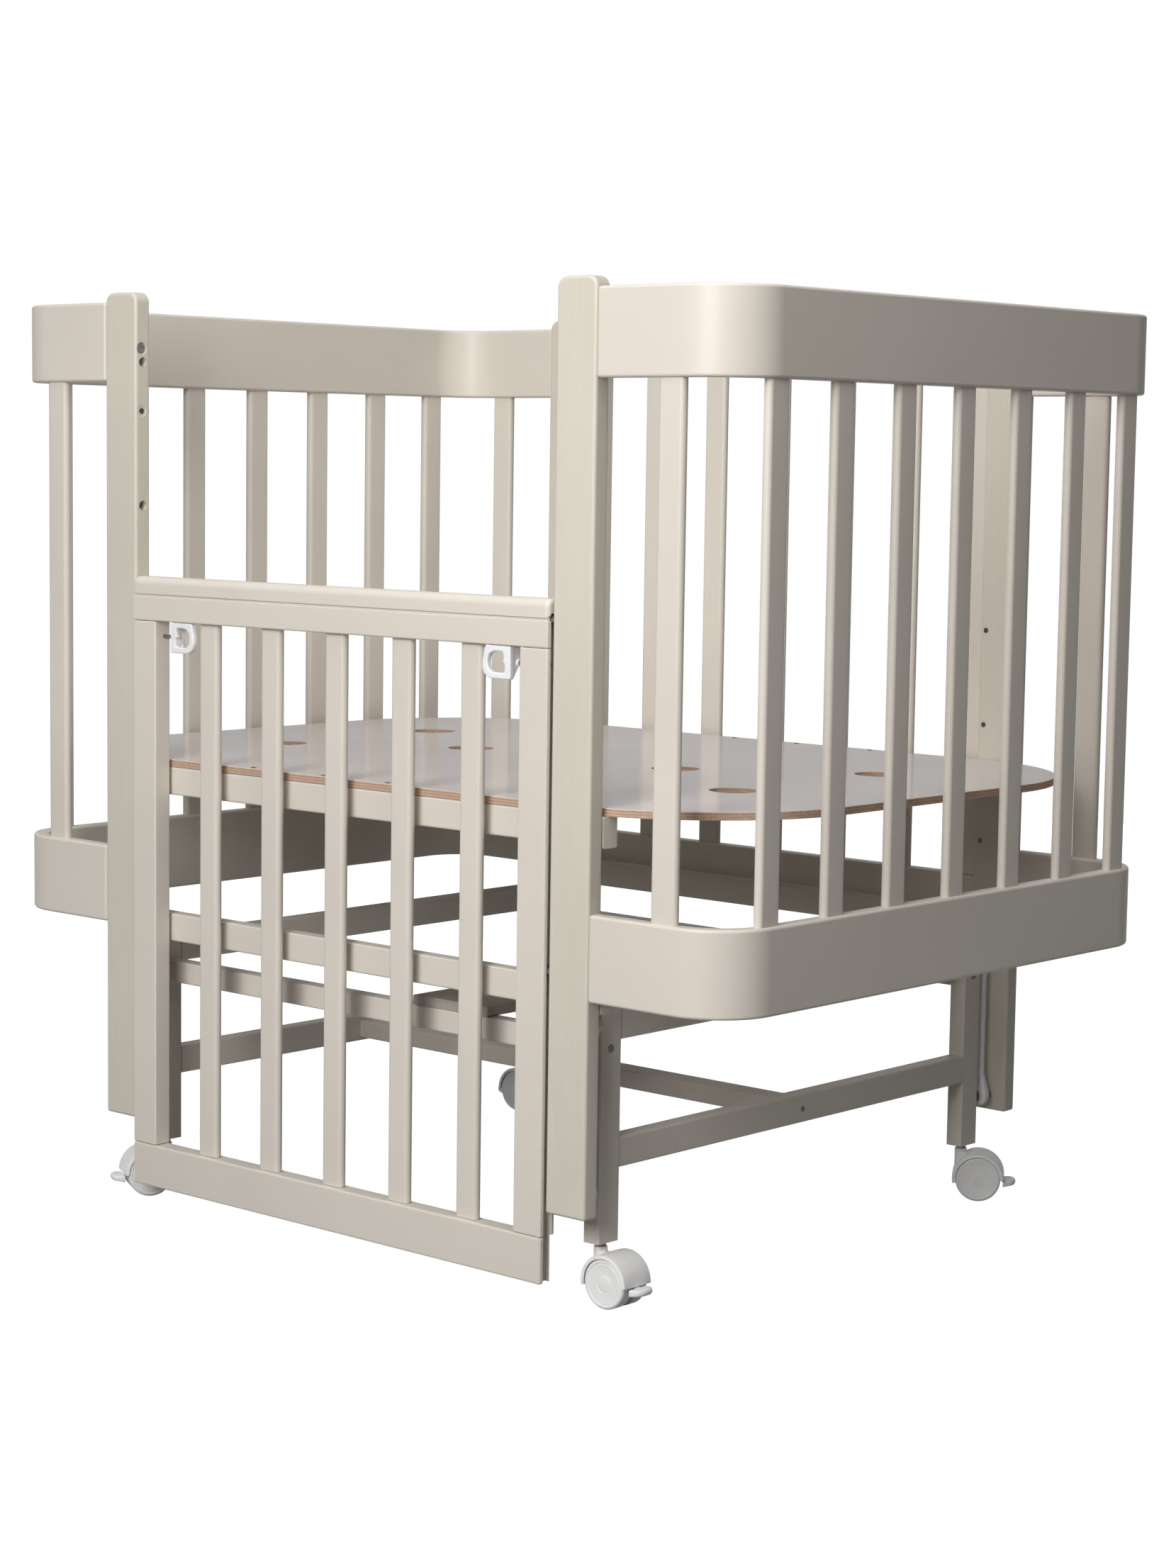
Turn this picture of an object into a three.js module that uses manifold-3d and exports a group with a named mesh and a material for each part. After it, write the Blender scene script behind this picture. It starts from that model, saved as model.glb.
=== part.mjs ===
import * as THREE from 'three';
import { mergeVertices } from 'three/addons/utils/BufferGeometryUtils.js';
import Module from 'manifold-3d';

// Pendulum crib: a slatted cot body that swings lengthwise on four links inside a low
// stand on casters. Millimetres, +Z up, X along the cot, the lowering gate faces -Y.
// The origin is on the floor under the middle of the cot.

// Clearances and cuts
const joint_gap = 0.3;
const running_gap = 0.3;
const cut_overrun = 2;

// Edge roundings of the painted wood
const soft_edge = 2.5;
const batten_edge = 2;
const end_edge = 1.5;
const rail_edge = 3;

// Posts of the cot body
const post_outer_x = 351.5;
const post_width = 50;
const post_depth = 20;
const post_bottom = 95;
const post_height = 890;
const post_corner_radius = 10;
const post_foot_radius = 3;
const body_half_width = 363.5;

// Bent end rails and the slats between them
const rail_reach = 168;
const rail_thickness = 17;
const rail_height = 84;
const rail_corner_radius = 66;
const top_rail_drop = 10;
const lower_rail_bottom = 306;
const slat_width = 30;
const slat_thickness = 10;
const slat_edge = 4.5;
const end_slat_count = 7;
const end_slat_inset = 67.4;
const side_slat_offset = 87.5;

// Lowering gate, drawn in its low position, and the fixed panel behind
const gate_side_gap = 1.5;
const gate_thickness = 21;
const panel_thickness = 18.5;
const panel_proud = 5;
const panel_height = 660;
const gate_bottom = 25;
const panel_top_rail_height = 47;
const gate_bottom_rail_height = 46;
const back_bottom_rail_height = 42;
const gate_stile_width = 36;
const stile_width = 34;
const panel_slat_count = 5;
const gate_slat_width = 28;
const gate_slat_spread = 1.2;
const gate_slat_shift = 4;
const panel_top_radius = 8.5;
const bead_drop = 20;
const bead_depth = 1.2;
const bead_width = 1.8;

// Guide groove in the gate's ends, and the pins in the posts that run in it
const groove_lip = 5;
const groove_width = 12;
const groove_depth = 8;
const groove_head = 14;
const guide_pin_radius = 5.6;
const guide_pin_reach = 7.5;
const low_guide_pin_rise = 15;

// Finger latches under the gate's top rail
const latch_gap = 13;
const latch_draws = { left: 10, right: 0 };
const latch_slat_gap = 5.6;
const latch_height = 32;
const latch_drop = 0.3;
const latch_setback = 1;
const latch_depth = 15.7;
const latch_ring_depth = 9;
const latch_ring_radius = 15;
const latch_band = 6;
const latch_block_width = 9.5;
const latch_corner_radius = 2;
const latch_edge = 1.5;
const latch_pin_radius = 2;
const latch_pin_inset = 13.5;
const latch_pin_drop = 16;
const latch_pin_seat = 7;
const latch_hole_depth = 12;
const latch_hole_radius = 5.2;
const middle_hole_drop = 152;

// Mattress board and the rails of the body
const board_top = 489;
const board_thickness = 8;
const board_end_gap = 9;
const board_corner_radius = 190;
const vent_radius = 26;
const outer_vent_x = 330;
const outer_vent_y = 121;
const inner_vent_x = 151;
const board_rail_thickness = 19.7;
const board_rail_height = 30;
const cross_rail_width = 30;
const lower_batten_thickness = 18;
const lower_batten_height = 30;
const lower_batten_clearance = 6;

// Stand
const leg_width = 20;
const leg_depth = 30;
const leg_shift = 4.7;
const leg_headroom = 14;
const stand_rail_height = 30;
const lower_stand_rail_bottom = 133;
const long_rail_thickness = 20;
const long_rail_height = 23.5;
const long_rail_drop = 26;
const stretcher_width = 30;
const stretcher_height = 20;
const stretcher_rise = 4;
const plank_width = 105;
const plank_thickness = 10;
const plank_x = 125;

// Swing links and their pivots
const link_space = 24.2;
const link_thickness = 10;
const link_boss_radius = 11;
const link_rod_width = 9;
const upper_pivot_height = 275;
const lower_pivot_rise = 17.5;
const pivot_pin_radius = 4;
const pivot_shoulder_radius = 7;

// Casters, drawn along +X with the stem at the origin
const wheel_radius = 25;
const wheel_outer_width = 37;
const wheel_gap = 7.2;
const wheel_tread_round = 2.5;
const wheel_face_radius = 17;
const wheel_face_recess = 0.8;
const wheel_hub_radius = 6;
const caster_trail = 20;
const hood_wall = 2.5;
const hood_clearance = 1;
const hood_overhang = 1;
const swivel_relief_gap = 0.8;
const web_side_gap = 0.4;
const web_hub_radius = 10;
const collar_radius = 6.5;
const collar_rise = 3.5;
const stem_showing = 4;
const stem_radius = 3.75;
const stem_insertion = 18;
const pedal_pivot_inset = 7.5;
const pedal_pivot_z = 4;
const pedal_boss_radius = 3.5;
const pedal_arm_thickness = 4;
const pedal_clearance = 2.6;
const pedal_length = 12.4;
const pedal_travel = 12;
const pedal_top_z = -1;
const pedal_height = 8;
const pedal_width = 26;
const pedal_corner_radius = 2;
const pedal_edge = 1.5;

// Counts of flats on round shapes
const corner_steps = 3;
const bend_steps = 9;
const bevel_steps = 1;
const pin_sides = 12;
const boss_sides = 16;
const vent_sides = 20;
const wheel_sides = 24;
const hood_steps = 12;

// Places worked out from the sizes above
const post_x = post_outer_x - post_width / 2;
const post_inner_x = post_outer_x - post_width;
const post_inner_y = body_half_width - post_depth;
const post_top = post_bottom + post_height;
const rail_outer_x = post_outer_x + rail_reach;
const top_rail_bottom = post_top - top_rail_drop - rail_height;
const end_slat_pitch = (2 * (body_half_width - end_slat_inset)) / (end_slat_count - 1);
const rail_centre_x = rail_outer_x - rail_thickness / 2;
const rail_centre_y = body_half_width - rail_thickness / 2;
const panel_front = body_half_width + panel_proud;
const panel_middle_y = panel_front - panel_thickness / 2;
const gate_middle_y = panel_front - gate_thickness / 2;
const gate_half_length = post_inner_x - gate_side_gap;
const back_half_length = post_inner_x - joint_gap;
const panel_inner_length = 2 * (back_half_length - stile_width);
const panel_slat_pitch = (panel_inner_length + slat_width) / (panel_slat_count + 1);
const gate_slat_pitch = panel_slat_pitch + gate_slat_spread;
const gate_slats_half_length = ((panel_slat_count - 1) * gate_slat_pitch + gate_slat_width) / 2;
const last_slat_edge = gate_slat_shift + gate_slats_half_length;
const gate_top = gate_bottom + panel_height;
const back_bottom = post_top - top_rail_drop - panel_height;
const gate_travel = back_bottom - gate_bottom;
const pin_line_y = panel_front - groove_lip - groove_width / 2;
const latch_line_y = panel_front - latch_pin_inset;
const post_middle_y = (body_half_width + post_inner_y) / 2;
const groove_top = gate_top - groove_head;
const high_guide_pin_height = groove_top - running_gap - guide_pin_radius;
const low_guide_pin_height = back_bottom + low_guide_pin_rise;
const latch_top = gate_top - panel_top_rail_height - latch_drop;
const latch_pin_height = latch_top - latch_pin_drop;
const latch_outer_x = gate_half_length - gate_stile_width - latch_gap;
const latch_width = latch_outer_x - last_slat_edge - latch_slat_gap;
const board_bottom = board_top - board_thickness;
const board_half_width = post_inner_y - joint_gap;
const board_half_length = rail_outer_x - rail_thickness - board_end_gap;
const board_rail_top = board_bottom - joint_gap;
const board_rail_bottom = board_rail_top - board_rail_height;
const lower_batten_bottom = upper_pivot_height + link_boss_radius + lower_batten_clearance;
const leg_x = post_x - leg_shift;
const leg_inner_x = leg_x - leg_width / 2;
const leg_outer_y = post_inner_y - link_space;
const leg_y = leg_outer_y - leg_depth / 2;
const leg_inner_y = leg_outer_y - leg_depth;
const link_y = (leg_outer_y + post_inner_y) / 2;
const link_inner_y = link_y - link_thickness / 2;
const link_outer_y = link_y + link_thickness / 2;
const lower_pivot_height = post_bottom + lower_pivot_rise;
const leg_top = upper_pivot_height + leg_headroom;
const long_rail_bottom = leg_top - long_rail_drop - long_rail_height;
const stretcher_bottom = lower_stand_rail_bottom + stretcher_rise;
const hood_inner_radius = wheel_radius + hood_clearance;
const hood_radius = hood_inner_radius + hood_wall;
const hood_width = wheel_outer_width + 2 * hood_overhang;
const web_thickness = wheel_gap - 2 * web_side_gap;
const collar_top = wheel_radius + hood_radius + collar_rise;
const leg_bottom = collar_top + stem_showing;
const pedal_pivot_x = wheel_radius - pedal_pivot_inset;
const pedal_inner_x = wheel_radius + pedal_clearance;
const pedal_outer_x = pedal_inner_x + pedal_length;

const wasm = await Module();
wasm.setup();

// Outlines

function arc(x, y, radius, from, to, steps) {
  return Array.from({ length: steps + 1 }, (_, i) => {
    const angle = from + ((to - from) * i) / steps;
    return new THREE.Vector2(x + radius * Math.cos(angle), y + radius * Math.sin(angle));
  });
}

// Rectangle about the origin, with radii in the order bottom-left, bottom-right, top-right, top-left
function roundedRectangle(width, height, radii, steps = corner_steps) {
  const corners = [[-1, -1], [1, -1], [1, 1], [-1, 1]];
  return corners.flatMap(([sx, sy], i) => {
    const start = Math.PI + (i * Math.PI) / 2;
    const x = sx * (width / 2 - radii[i]);
    const y = sy * (height / 2 - radii[i]);
    return arc(x, y, radii[i], start, start + Math.PI / 2, steps);
  });
}

function evenRectangle(width, height, radius, steps = corner_steps) {
  return roundedRectangle(width, height, [radius, radius, radius, radius], steps);
}

function circle(x, y, radius, sides) {
  return arc(x, y, radius, 0, 2 * Math.PI, sides).slice(0, sides);
}

// Extrusions: each starts at zero and runs along one axis. Along X the outline is (y, z),
// along Y it is (x, z) and along Z it is (x, y).

function alongZ(outline, length, edge = 0, holes = []) {
  const shape = new THREE.Shape(outline);
  shape.holes = holes.map((hole) => new THREE.Path(hole));
  const bevel = { bevelThickness: edge, bevelSize: edge, bevelOffset: -edge, bevelSegments: bevel_steps };
  const plain = { depth: length, bevelEnabled: false };
  const options = edge > 0 ? { depth: length - 2 * edge, ...bevel } : plain;
  return new THREE.ExtrudeGeometry(shape, options).translate(0, 0, edge);
}

function alongX(outline, length, edge = 0) {
  return alongZ(outline, length, edge).rotateZ(Math.PI / 2).rotateY(Math.PI / 2);
}

function alongY(outline, length, edge = 0) {
  return alongZ(outline, length, edge).rotateX(Math.PI / 2).translate(0, length, 0);
}

function pinAlongY(radius, length, sides = pin_sides) {
  return alongY(circle(0, 0, radius, sides), length);
}

function pinAlongX(radius, length) {
  return alongX(circle(0, 0, radius, pin_sides), length);
}

// Joins and cuts

function solid(geometry) {
  const bare = geometry.clone();
  bare.deleteAttribute('normal');
  bare.deleteAttribute('uv');
  const merged = mergeVertices(bare);
  return new wasm.Manifold(new wasm.Mesh({
    numProp: 3,
    vertProperties: new Float32Array(merged.attributes.position.array),
    triVerts: new Uint32Array(merged.index.array),
  }));
}

function surface(body) {
  const mesh = body.getMesh();
  const geometry = new THREE.BufferGeometry();
  geometry.setAttribute('position', new THREE.BufferAttribute(new Float32Array(mesh.vertProperties), 3));
  geometry.setIndex(new THREE.BufferAttribute(new Uint32Array(mesh.triVerts), 1));
  geometry.computeVertexNormals();
  return geometry;
}

function carve(base, added, removed) {
  const joined = added.reduce((body, geometry) => body.add(solid(geometry)), solid(base));
  return surface(removed.reduce((body, geometry) => body.subtract(solid(geometry)), joined));
}

// Mirror image in X and Y by the signs given, with the faces still pointing out
function mirrored(geometry, sx, sy) {
  const copy = mergeVertices(geometry.clone().deleteAttribute('normal').deleteAttribute('uv'));
  copy.scale(sx, sy, 1);
  if (sx * sy < 0) {
    const index = copy.index.array;
    for (let i = 0; i < index.length; i += 3) {
      [index[i], index[i + 1]] = [index[i + 1], index[i]];
    }
  }
  copy.computeVertexNormals();
  return copy;
}

// Materials

const crib = new THREE.Group();

const finishes = {
  paint: { color: 0xd8d0c4, roughness: 0.42, metalness: 0 },
  post_paint: { color: 0xd2cdbf, roughness: 0.5, metalness: 0 },
  laminate: { color: 0xe2dad6, roughness: 0.2, metalness: 0 },
  plank: { color: 0xb9b1a6, roughness: 0.5, metalness: 0 },
  white_plastic: { color: 0xeeeeee, roughness: 0.45, metalness: 0 },
  steel: { color: 0x8f9194, roughness: 0.35, metalness: 1 },
};

function piece(name, geometry, finish, place = [0, 0, 0], parent = crib) {
  const mesh = new THREE.Mesh(geometry, new THREE.MeshStandardMaterial(finishes[finish]));
  mesh.name = name;
  mesh.position.set(...place);
  parent.add(mesh);
  return mesh;
}

const sides = [['left', -1], ['right', 1]];
const faces = [['front', -1], ['back', 1]];

// Posts: drawn for the front right corner with the body's outer face at the front.
// Each carries the stub that its link swings on, and the front ones guide the gate.

function postGeometry(isFront) {
  const outline = roundedRectangle(
    post_width, post_height,
    [post_foot_radius, post_foot_radius, post_corner_radius, post_corner_radius],
  );
  const board = alongY(outline, post_depth, soft_edge).translate(
    post_x, -body_half_width, post_bottom + post_height / 2,
  );
  const shoulder_length = post_inner_y - link_outer_y - running_gap;
  const shoulder = pinAlongY(pivot_shoulder_radius, shoulder_length + cut_overrun).translate(
    post_x, -post_inner_y - cut_overrun, lower_pivot_height,
  );
  const stub_length = post_inner_y - link_inner_y;
  const stub = pinAlongY(pivot_pin_radius, stub_length + cut_overrun).translate(
    post_x, -post_inner_y - cut_overrun, lower_pivot_height,
  );
  const added = [shoulder, stub];
  const removed = [];
  if (isFront) {
    for (const height of [high_guide_pin_height, low_guide_pin_height]) {
      const pin = pinAlongX(guide_pin_radius, guide_pin_reach + cut_overrun);
      added.push(pin.translate(post_inner_x - guide_pin_reach, -pin_line_y, height));
    }
    const top_hole_height = latch_pin_height + gate_travel;
    for (const height of [top_hole_height, top_hole_height - middle_hole_drop]) {
      const hole = pinAlongX(latch_hole_radius, latch_hole_depth + cut_overrun);
      removed.push(hole.translate(post_inner_x - cut_overrun, -post_middle_y, height));
    }
  }
  return carve(board, added, removed);
}

for (const [face, sy] of faces) {
  for (const [side, sx] of sides) {
    piece(`post_${face}_${side}`, mirrored(postGeometry(sy < 0), sx, -sy), 'post_paint');
  }
}

// Bent end rails: a U seen from above, drawn for the right end

function bentRailOutline() {
  const start = post_outer_x + joint_gap;
  const bend_x = rail_outer_x - rail_corner_radius;
  const bend_y = body_half_width - rail_corner_radius;
  const inner_radius = rail_corner_radius - rail_thickness;
  const inner_y = body_half_width - rail_thickness;
  const right_angle = Math.PI / 2;
  return [
    new THREE.Vector2(start, -body_half_width),
    ...arc(bend_x, -bend_y, rail_corner_radius, -right_angle, 0, bend_steps),
    ...arc(bend_x, bend_y, rail_corner_radius, 0, right_angle, bend_steps),
    new THREE.Vector2(start, body_half_width),
    new THREE.Vector2(start, inner_y),
    ...arc(bend_x, bend_y, inner_radius, right_angle, 0, bend_steps),
    ...arc(bend_x, -bend_y, inner_radius, 0, -right_angle, bend_steps),
    new THREE.Vector2(start, -inner_y),
  ];
}

// Slats of one end: seven across the end and one in each short side stretch
function endSlats() {
  const foot = lower_rail_bottom + rail_height - cut_overrun - rail_edge;
  const length = top_rail_bottom - joint_gap - foot;
  const across = evenRectangle(slat_thickness, slat_width, slat_edge);
  const along = evenRectangle(slat_width, slat_thickness, slat_edge);
  const slats = Array.from({ length: end_slat_count }, (_, i) => {
    const y = (i - (end_slat_count - 1) / 2) * end_slat_pitch;
    return alongZ(across, length).translate(rail_centre_x, y, foot);
  });
  for (const sy of [-1, 1]) {
    slats.push(alongZ(along, length).translate(post_outer_x + side_slat_offset, sy * rail_centre_y, foot));
  }
  return slats;
}

for (const [side, sx] of sides) {
  const top = alongZ(bentRailOutline(), rail_height, rail_edge).translate(0, 0, top_rail_bottom);
  piece(`end_top_rail_${side}`, mirrored(top, sx, 1), 'paint');
  const lower = alongZ(bentRailOutline(), rail_height, rail_edge).translate(0, 0, lower_rail_bottom);
  piece(`end_slatted_rail_${side}`, mirrored(carve(lower, endSlats(), []), sx, 1), 'paint');
}

// Gate and back panel. Both have a top rail with a bead line under its round nose,
// a bottom rail, two stiles and five slats.

function topRailGeometry(half_length, thickness) {
  const height = panel_top_rail_height;
  const outline = roundedRectangle(
    thickness, height, [batten_edge, batten_edge, panel_top_radius, panel_top_radius],
    corner_steps + 1,
  );
  const rail = alongX(outline, 2 * half_length, end_edge).translate(-half_length, 0, 0);
  const bead_z = height / 2 - bead_drop;
  const front = -thickness / 2;
  const notch = [
    new THREE.Vector2(front - cut_overrun, bead_z + bead_width),
    new THREE.Vector2(front - cut_overrun, bead_z - bead_width),
    new THREE.Vector2(front + bead_depth, bead_z),
  ];
  const bead = alongX(notch, 2 * (half_length + cut_overrun)).translate(-half_length - cut_overrun, 0, 0);
  return [rail, bead];
}

function grooveCutter(bottom, top, half_length) {
  const width = groove_depth + cut_overrun;
  const box = new THREE.BoxGeometry(width, groove_width, top - bottom);
  return box.translate(half_length - groove_depth + width / 2, -pin_line_y, (top + bottom) / 2);
}

// The rear corner of each end of the gate's bottom rail is cut off square to the line
// from the caster's stem, so that the caster's hood turns past it.

function swivelRelief() {
  const radius = Math.hypot(caster_trail + hood_radius, hood_width / 2) + swivel_relief_gap;
  const height = 2 * (gate_bottom_rail_height + cut_overrun);
  const corner_x = gate_half_length - leg_x;
  const corner_y = leg_y - gate_middle_y + gate_thickness / 2;
  const box = new THREE.BoxGeometry(2 * radius, 2 * radius, height);
  box.rotateZ(Math.atan2(corner_y, corner_x));
  return box.translate(leg_x, -leg_y, gate_bottom);
}

const gate_rail_y = -gate_middle_y;
const top_rail_z = gate_top - panel_top_rail_height / 2;
const stile_bottom = gate_bottom + gate_bottom_rail_height + joint_gap;
const back_stile_bottom = back_bottom + back_bottom_rail_height + joint_gap;
const stile_top = gate_top - panel_top_rail_height - joint_gap;

{
  const [rail, bead] = topRailGeometry(gate_half_length, gate_thickness);
  const cutters = sides.map(([, sx]) => {
    const cutter = grooveCutter(stile_top - cut_overrun, groove_top, gate_half_length);
    return mirrored(cutter, sx, 1);
  });
  for (const geometry of [rail, bead]) {
    geometry.translate(0, gate_rail_y, top_rail_z);
  }
  piece('gate_top_rail', carve(rail, [], [bead, ...cutters]), 'paint');
}

{
  const outline = evenRectangle(gate_thickness, gate_bottom_rail_height, batten_edge);
  const rail = alongX(outline, 2 * gate_half_length, end_edge).translate(
    -gate_half_length, gate_rail_y, gate_bottom + gate_bottom_rail_height / 2,
  );
  const cutters = sides.flatMap(([, sx]) => {
    const groove = grooveCutter(gate_bottom - cut_overrun, stile_bottom, gate_half_length);
    return [mirrored(groove, sx, 1), mirrored(swivelRelief(), sx, 1)];
  });
  piece('gate_bottom_rail', carve(rail, [], cutters), 'paint');
}

for (const [side, sx] of sides) {
  const outline = evenRectangle(gate_stile_width, gate_thickness, batten_edge);
  const stile = alongZ(outline, stile_top - stile_bottom).translate(
    gate_half_length - gate_stile_width / 2, gate_rail_y, stile_bottom,
  );
  const groove = grooveCutter(stile_bottom - cut_overrun, stile_top + cut_overrun, gate_half_length);
  const hole = pinAlongX(latch_pin_radius + running_gap, gate_stile_width + cut_overrun).translate(
    gate_half_length - gate_stile_width - cut_overrun, -latch_line_y, latch_pin_height,
  );
  piece(`gate_stile_${side}`, mirrored(carve(stile, [], [groove, hole]), sx, 1), 'paint');
}

for (let i = 0; i < panel_slat_count; i += 1) {
  const x = gate_slat_shift + (i - (panel_slat_count - 1) / 2) * gate_slat_pitch;
  const outline = evenRectangle(gate_slat_width, slat_thickness, slat_edge);
  const slat = alongZ(outline, stile_top - stile_bottom);
  piece(`gate_slat_${i + 1}`, slat, 'paint', [x, gate_rail_y, stile_bottom]);
}

// Back panel, fixed at the height of the raised gate
{
  const rise = back_bottom - gate_bottom;
  const [rail, bead] = topRailGeometry(back_half_length, panel_thickness);
  const top = carve(rail, [], [bead]).rotateZ(Math.PI);
  piece('back_top_rail', top, 'paint', [0, panel_middle_y, top_rail_z + rise]);

  const outline = evenRectangle(panel_thickness, back_bottom_rail_height, batten_edge);
  const bottom = alongX(outline, 2 * back_half_length, end_edge).translate(
    -back_half_length, 0, back_bottom_rail_height / 2,
  );
  const foot = back_bottom_rail_height - batten_edge - cut_overrun;
  const length = stile_top - gate_bottom - foot;
  const slats = Array.from({ length: panel_slat_count }, (_, i) => {
    const x = (i - (panel_slat_count - 1) / 2) * panel_slat_pitch;
    return alongZ(evenRectangle(slat_width, slat_thickness, slat_edge), length).translate(x, 0, foot);
  });
  piece('back_slatted_rail', carve(bottom, slats, []), 'paint', [0, panel_middle_y, back_bottom]);

  for (const [side, sx] of sides) {
    const outline = evenRectangle(stile_width, panel_thickness, batten_edge);
    const stile = alongZ(outline, stile_top + rise - back_stile_bottom);
    const x = sx * (back_half_length - stile_width / 2);
    piece(`back_stile_${side}`, stile, 'paint', [x, panel_middle_y, back_stile_bottom]);
  }
}

// Finger latches: a ring to pull, a block behind it and a pin through the stile.
// Drawn for the right side, in the plane of the gate's front.

function latchPull() {
  const outer = roundedRectangle(
    latch_width, latch_height,
    [latch_ring_radius, latch_corner_radius, latch_corner_radius, latch_ring_radius / 2],
    corner_steps + 1,
  );
  const hole_width = latch_width - latch_band - latch_block_width;
  const hole_height = latch_height - 2 * latch_band;
  const hole_radius = hole_height / 2 - latch_corner_radius;
  const hole_shift = (latch_band - latch_block_width) / 2;
  const finger_hole = roundedRectangle(
    hole_width, hole_height, [hole_radius, latch_corner_radius, latch_corner_radius, hole_radius],
    corner_steps + 1,
  ).map((point) => new THREE.Vector2(point.x + hole_shift, point.y));
  const ring = alongY(outer, latch_ring_depth, latch_edge);
  const block = alongX([
    new THREE.Vector2(latch_edge, -latch_height / 2 + latch_edge),
    new THREE.Vector2(latch_ring_depth, -latch_height / 2 + latch_edge),
    new THREE.Vector2(latch_depth, 0),
    new THREE.Vector2(latch_depth, latch_height / 2),
    new THREE.Vector2(latch_edge, latch_height / 2),
  ], latch_block_width).translate(latch_width / 2 - latch_block_width, 0, 0);
  const cutter = alongY(finger_hole, latch_ring_depth + 2 * cut_overrun).translate(0, -cut_overrun, 0);
  const pull_z = latch_top - latch_height / 2;
  const pin_y = panel_front - latch_setback - latch_line_y;
  const seat = pinAlongX(latch_pin_radius + joint_gap, latch_pin_seat + cut_overrun).translate(
    latch_width / 2 - latch_pin_seat, pin_y, latch_pin_height - pull_z,
  );
  return carve(ring, [block], [cutter, seat]).translate(
    latch_outer_x - latch_width / 2, -panel_front + latch_setback, pull_z,
  );
}

for (const [side, sx] of sides) {
  const place = [-sx * latch_draws[side], 0, 0];
  piece(`latch_pull_${side}`, mirrored(latchPull(), sx, 1), 'white_plastic', place);
  const start = latch_outer_x - latch_pin_seat + joint_gap;
  const end = gate_half_length - groove_depth;
  const pin = pinAlongX(latch_pin_radius, end - start).translate(start, -latch_line_y, latch_pin_height);
  piece(`latch_pin_${side}`, mirrored(pin, sx, 1), 'steel', place);
}

// Mattress board with its six vent holes
{
  const length = 2 * board_half_length;
  const outline = evenRectangle(length, 2 * board_half_width, board_corner_radius, bend_steps);
  const outer_vents = [[-1, -1], [1, -1], [1, 1], [-1, 1]].map(
    ([sx, sy]) => circle(sx * outer_vent_x, sy * outer_vent_y, vent_radius, vent_sides),
  );
  const inner_vents = [-1, 1].map((sx) => circle(sx * inner_vent_x, 0, vent_radius, vent_sides));
  const board = alongZ(outline, board_thickness, 0, [...outer_vents, ...inner_vents]);
  piece('mattress_board', board, 'laminate', [0, 0, board_bottom]);
}

// Battens: straight bars of one rounded section

function battenAlongX(length, depth, height) {
  return alongX(evenRectangle(depth, height, batten_edge), length).translate(-length / 2, 0, height / 2);
}

function battenAlongY(length, width, height) {
  return alongY(evenRectangle(width, height, batten_edge), length).translate(0, -length / 2, height / 2);
}

for (const [face, sy] of faces) {
  const board_rail = battenAlongX(2 * post_outer_x, board_rail_thickness, board_rail_height);
  const board_rail_y = sy * (board_half_width - board_rail_thickness / 2);
  piece(`board_rail_${face}`, board_rail, 'paint', [0, board_rail_y, board_rail_bottom]);
  const batten = battenAlongX(2 * post_outer_x, lower_batten_thickness, lower_batten_height);
  const batten_y = sy * (board_half_width - lower_batten_thickness / 2);
  piece(`lower_rail_${face}`, batten, 'paint', [0, batten_y, lower_batten_bottom]);
}

{
  const length = 2 * (board_half_width - board_rail_thickness - joint_gap);
  const rail = battenAlongY(length, cross_rail_width, board_rail_height);
  piece('board_cross_rail', rail, 'paint', [0, 0, board_rail_bottom]);
}

// Stand: legs with the caster socket below and the link's pivot on the outer side

function legGeometry() {
  const leg = alongZ(evenRectangle(leg_width, leg_depth, batten_edge), leg_top - leg_bottom).translate(
    leg_x, -leg_y, leg_bottom,
  );
  const shoulder_length = link_inner_y - leg_outer_y - running_gap;
  const shoulder = pinAlongY(pivot_shoulder_radius, shoulder_length + cut_overrun).translate(
    post_x, -leg_outer_y - shoulder_length, upper_pivot_height,
  );
  const pin_length = link_outer_y - leg_outer_y;
  const pin = pinAlongY(pivot_pin_radius, pin_length + cut_overrun).translate(
    post_x, -leg_outer_y - pin_length, upper_pivot_height,
  );
  const socket = alongZ(
    circle(leg_x, -leg_y, stem_radius + running_gap, pin_sides), stem_insertion + joint_gap + cut_overrun,
  ).translate(0, 0, leg_bottom - cut_overrun);
  return carve(leg, [shoulder, pin], [socket]);
}

for (const [face, sy] of faces) {
  for (const [side, sx] of sides) {
    piece(`leg_${face}_${side}`, mirrored(legGeometry(), sx, -sy), 'paint');
  }
}

for (const [side, sx] of sides) {
  const length = 2 * (leg_inner_y - joint_gap);
  const upper = battenAlongY(length, leg_width, stand_rail_height);
  piece(`stand_upper_rail_${side}`, upper, 'paint', [sx * leg_x, 0, leg_top - stand_rail_height]);
  const lower = battenAlongY(length, leg_width, stand_rail_height);
  piece(`stand_lower_rail_${side}`, lower, 'paint', [sx * leg_x, 0, lower_stand_rail_bottom]);
}

const stand_inner_length = 2 * (leg_inner_x - joint_gap);

for (const [face, sy] of faces) {
  const rail = battenAlongX(stand_inner_length, long_rail_thickness, long_rail_height);
  piece(`stand_long_rail_${face}`, rail, 'paint', [0, sy * leg_y, long_rail_bottom]);
}

piece(
  'stand_stretcher', battenAlongX(stand_inner_length, stretcher_width, stretcher_height), 'paint',
  [0, 0, stretcher_bottom],
);

{
  const length = 2 * leg_y + long_rail_thickness;
  const plank = battenAlongY(length, plank_width, plank_thickness);
  const plank_bottom = long_rail_bottom + long_rail_height + joint_gap;
  piece('stand_plank', plank, 'plank', [plank_x, 0, plank_bottom]);
}

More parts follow.
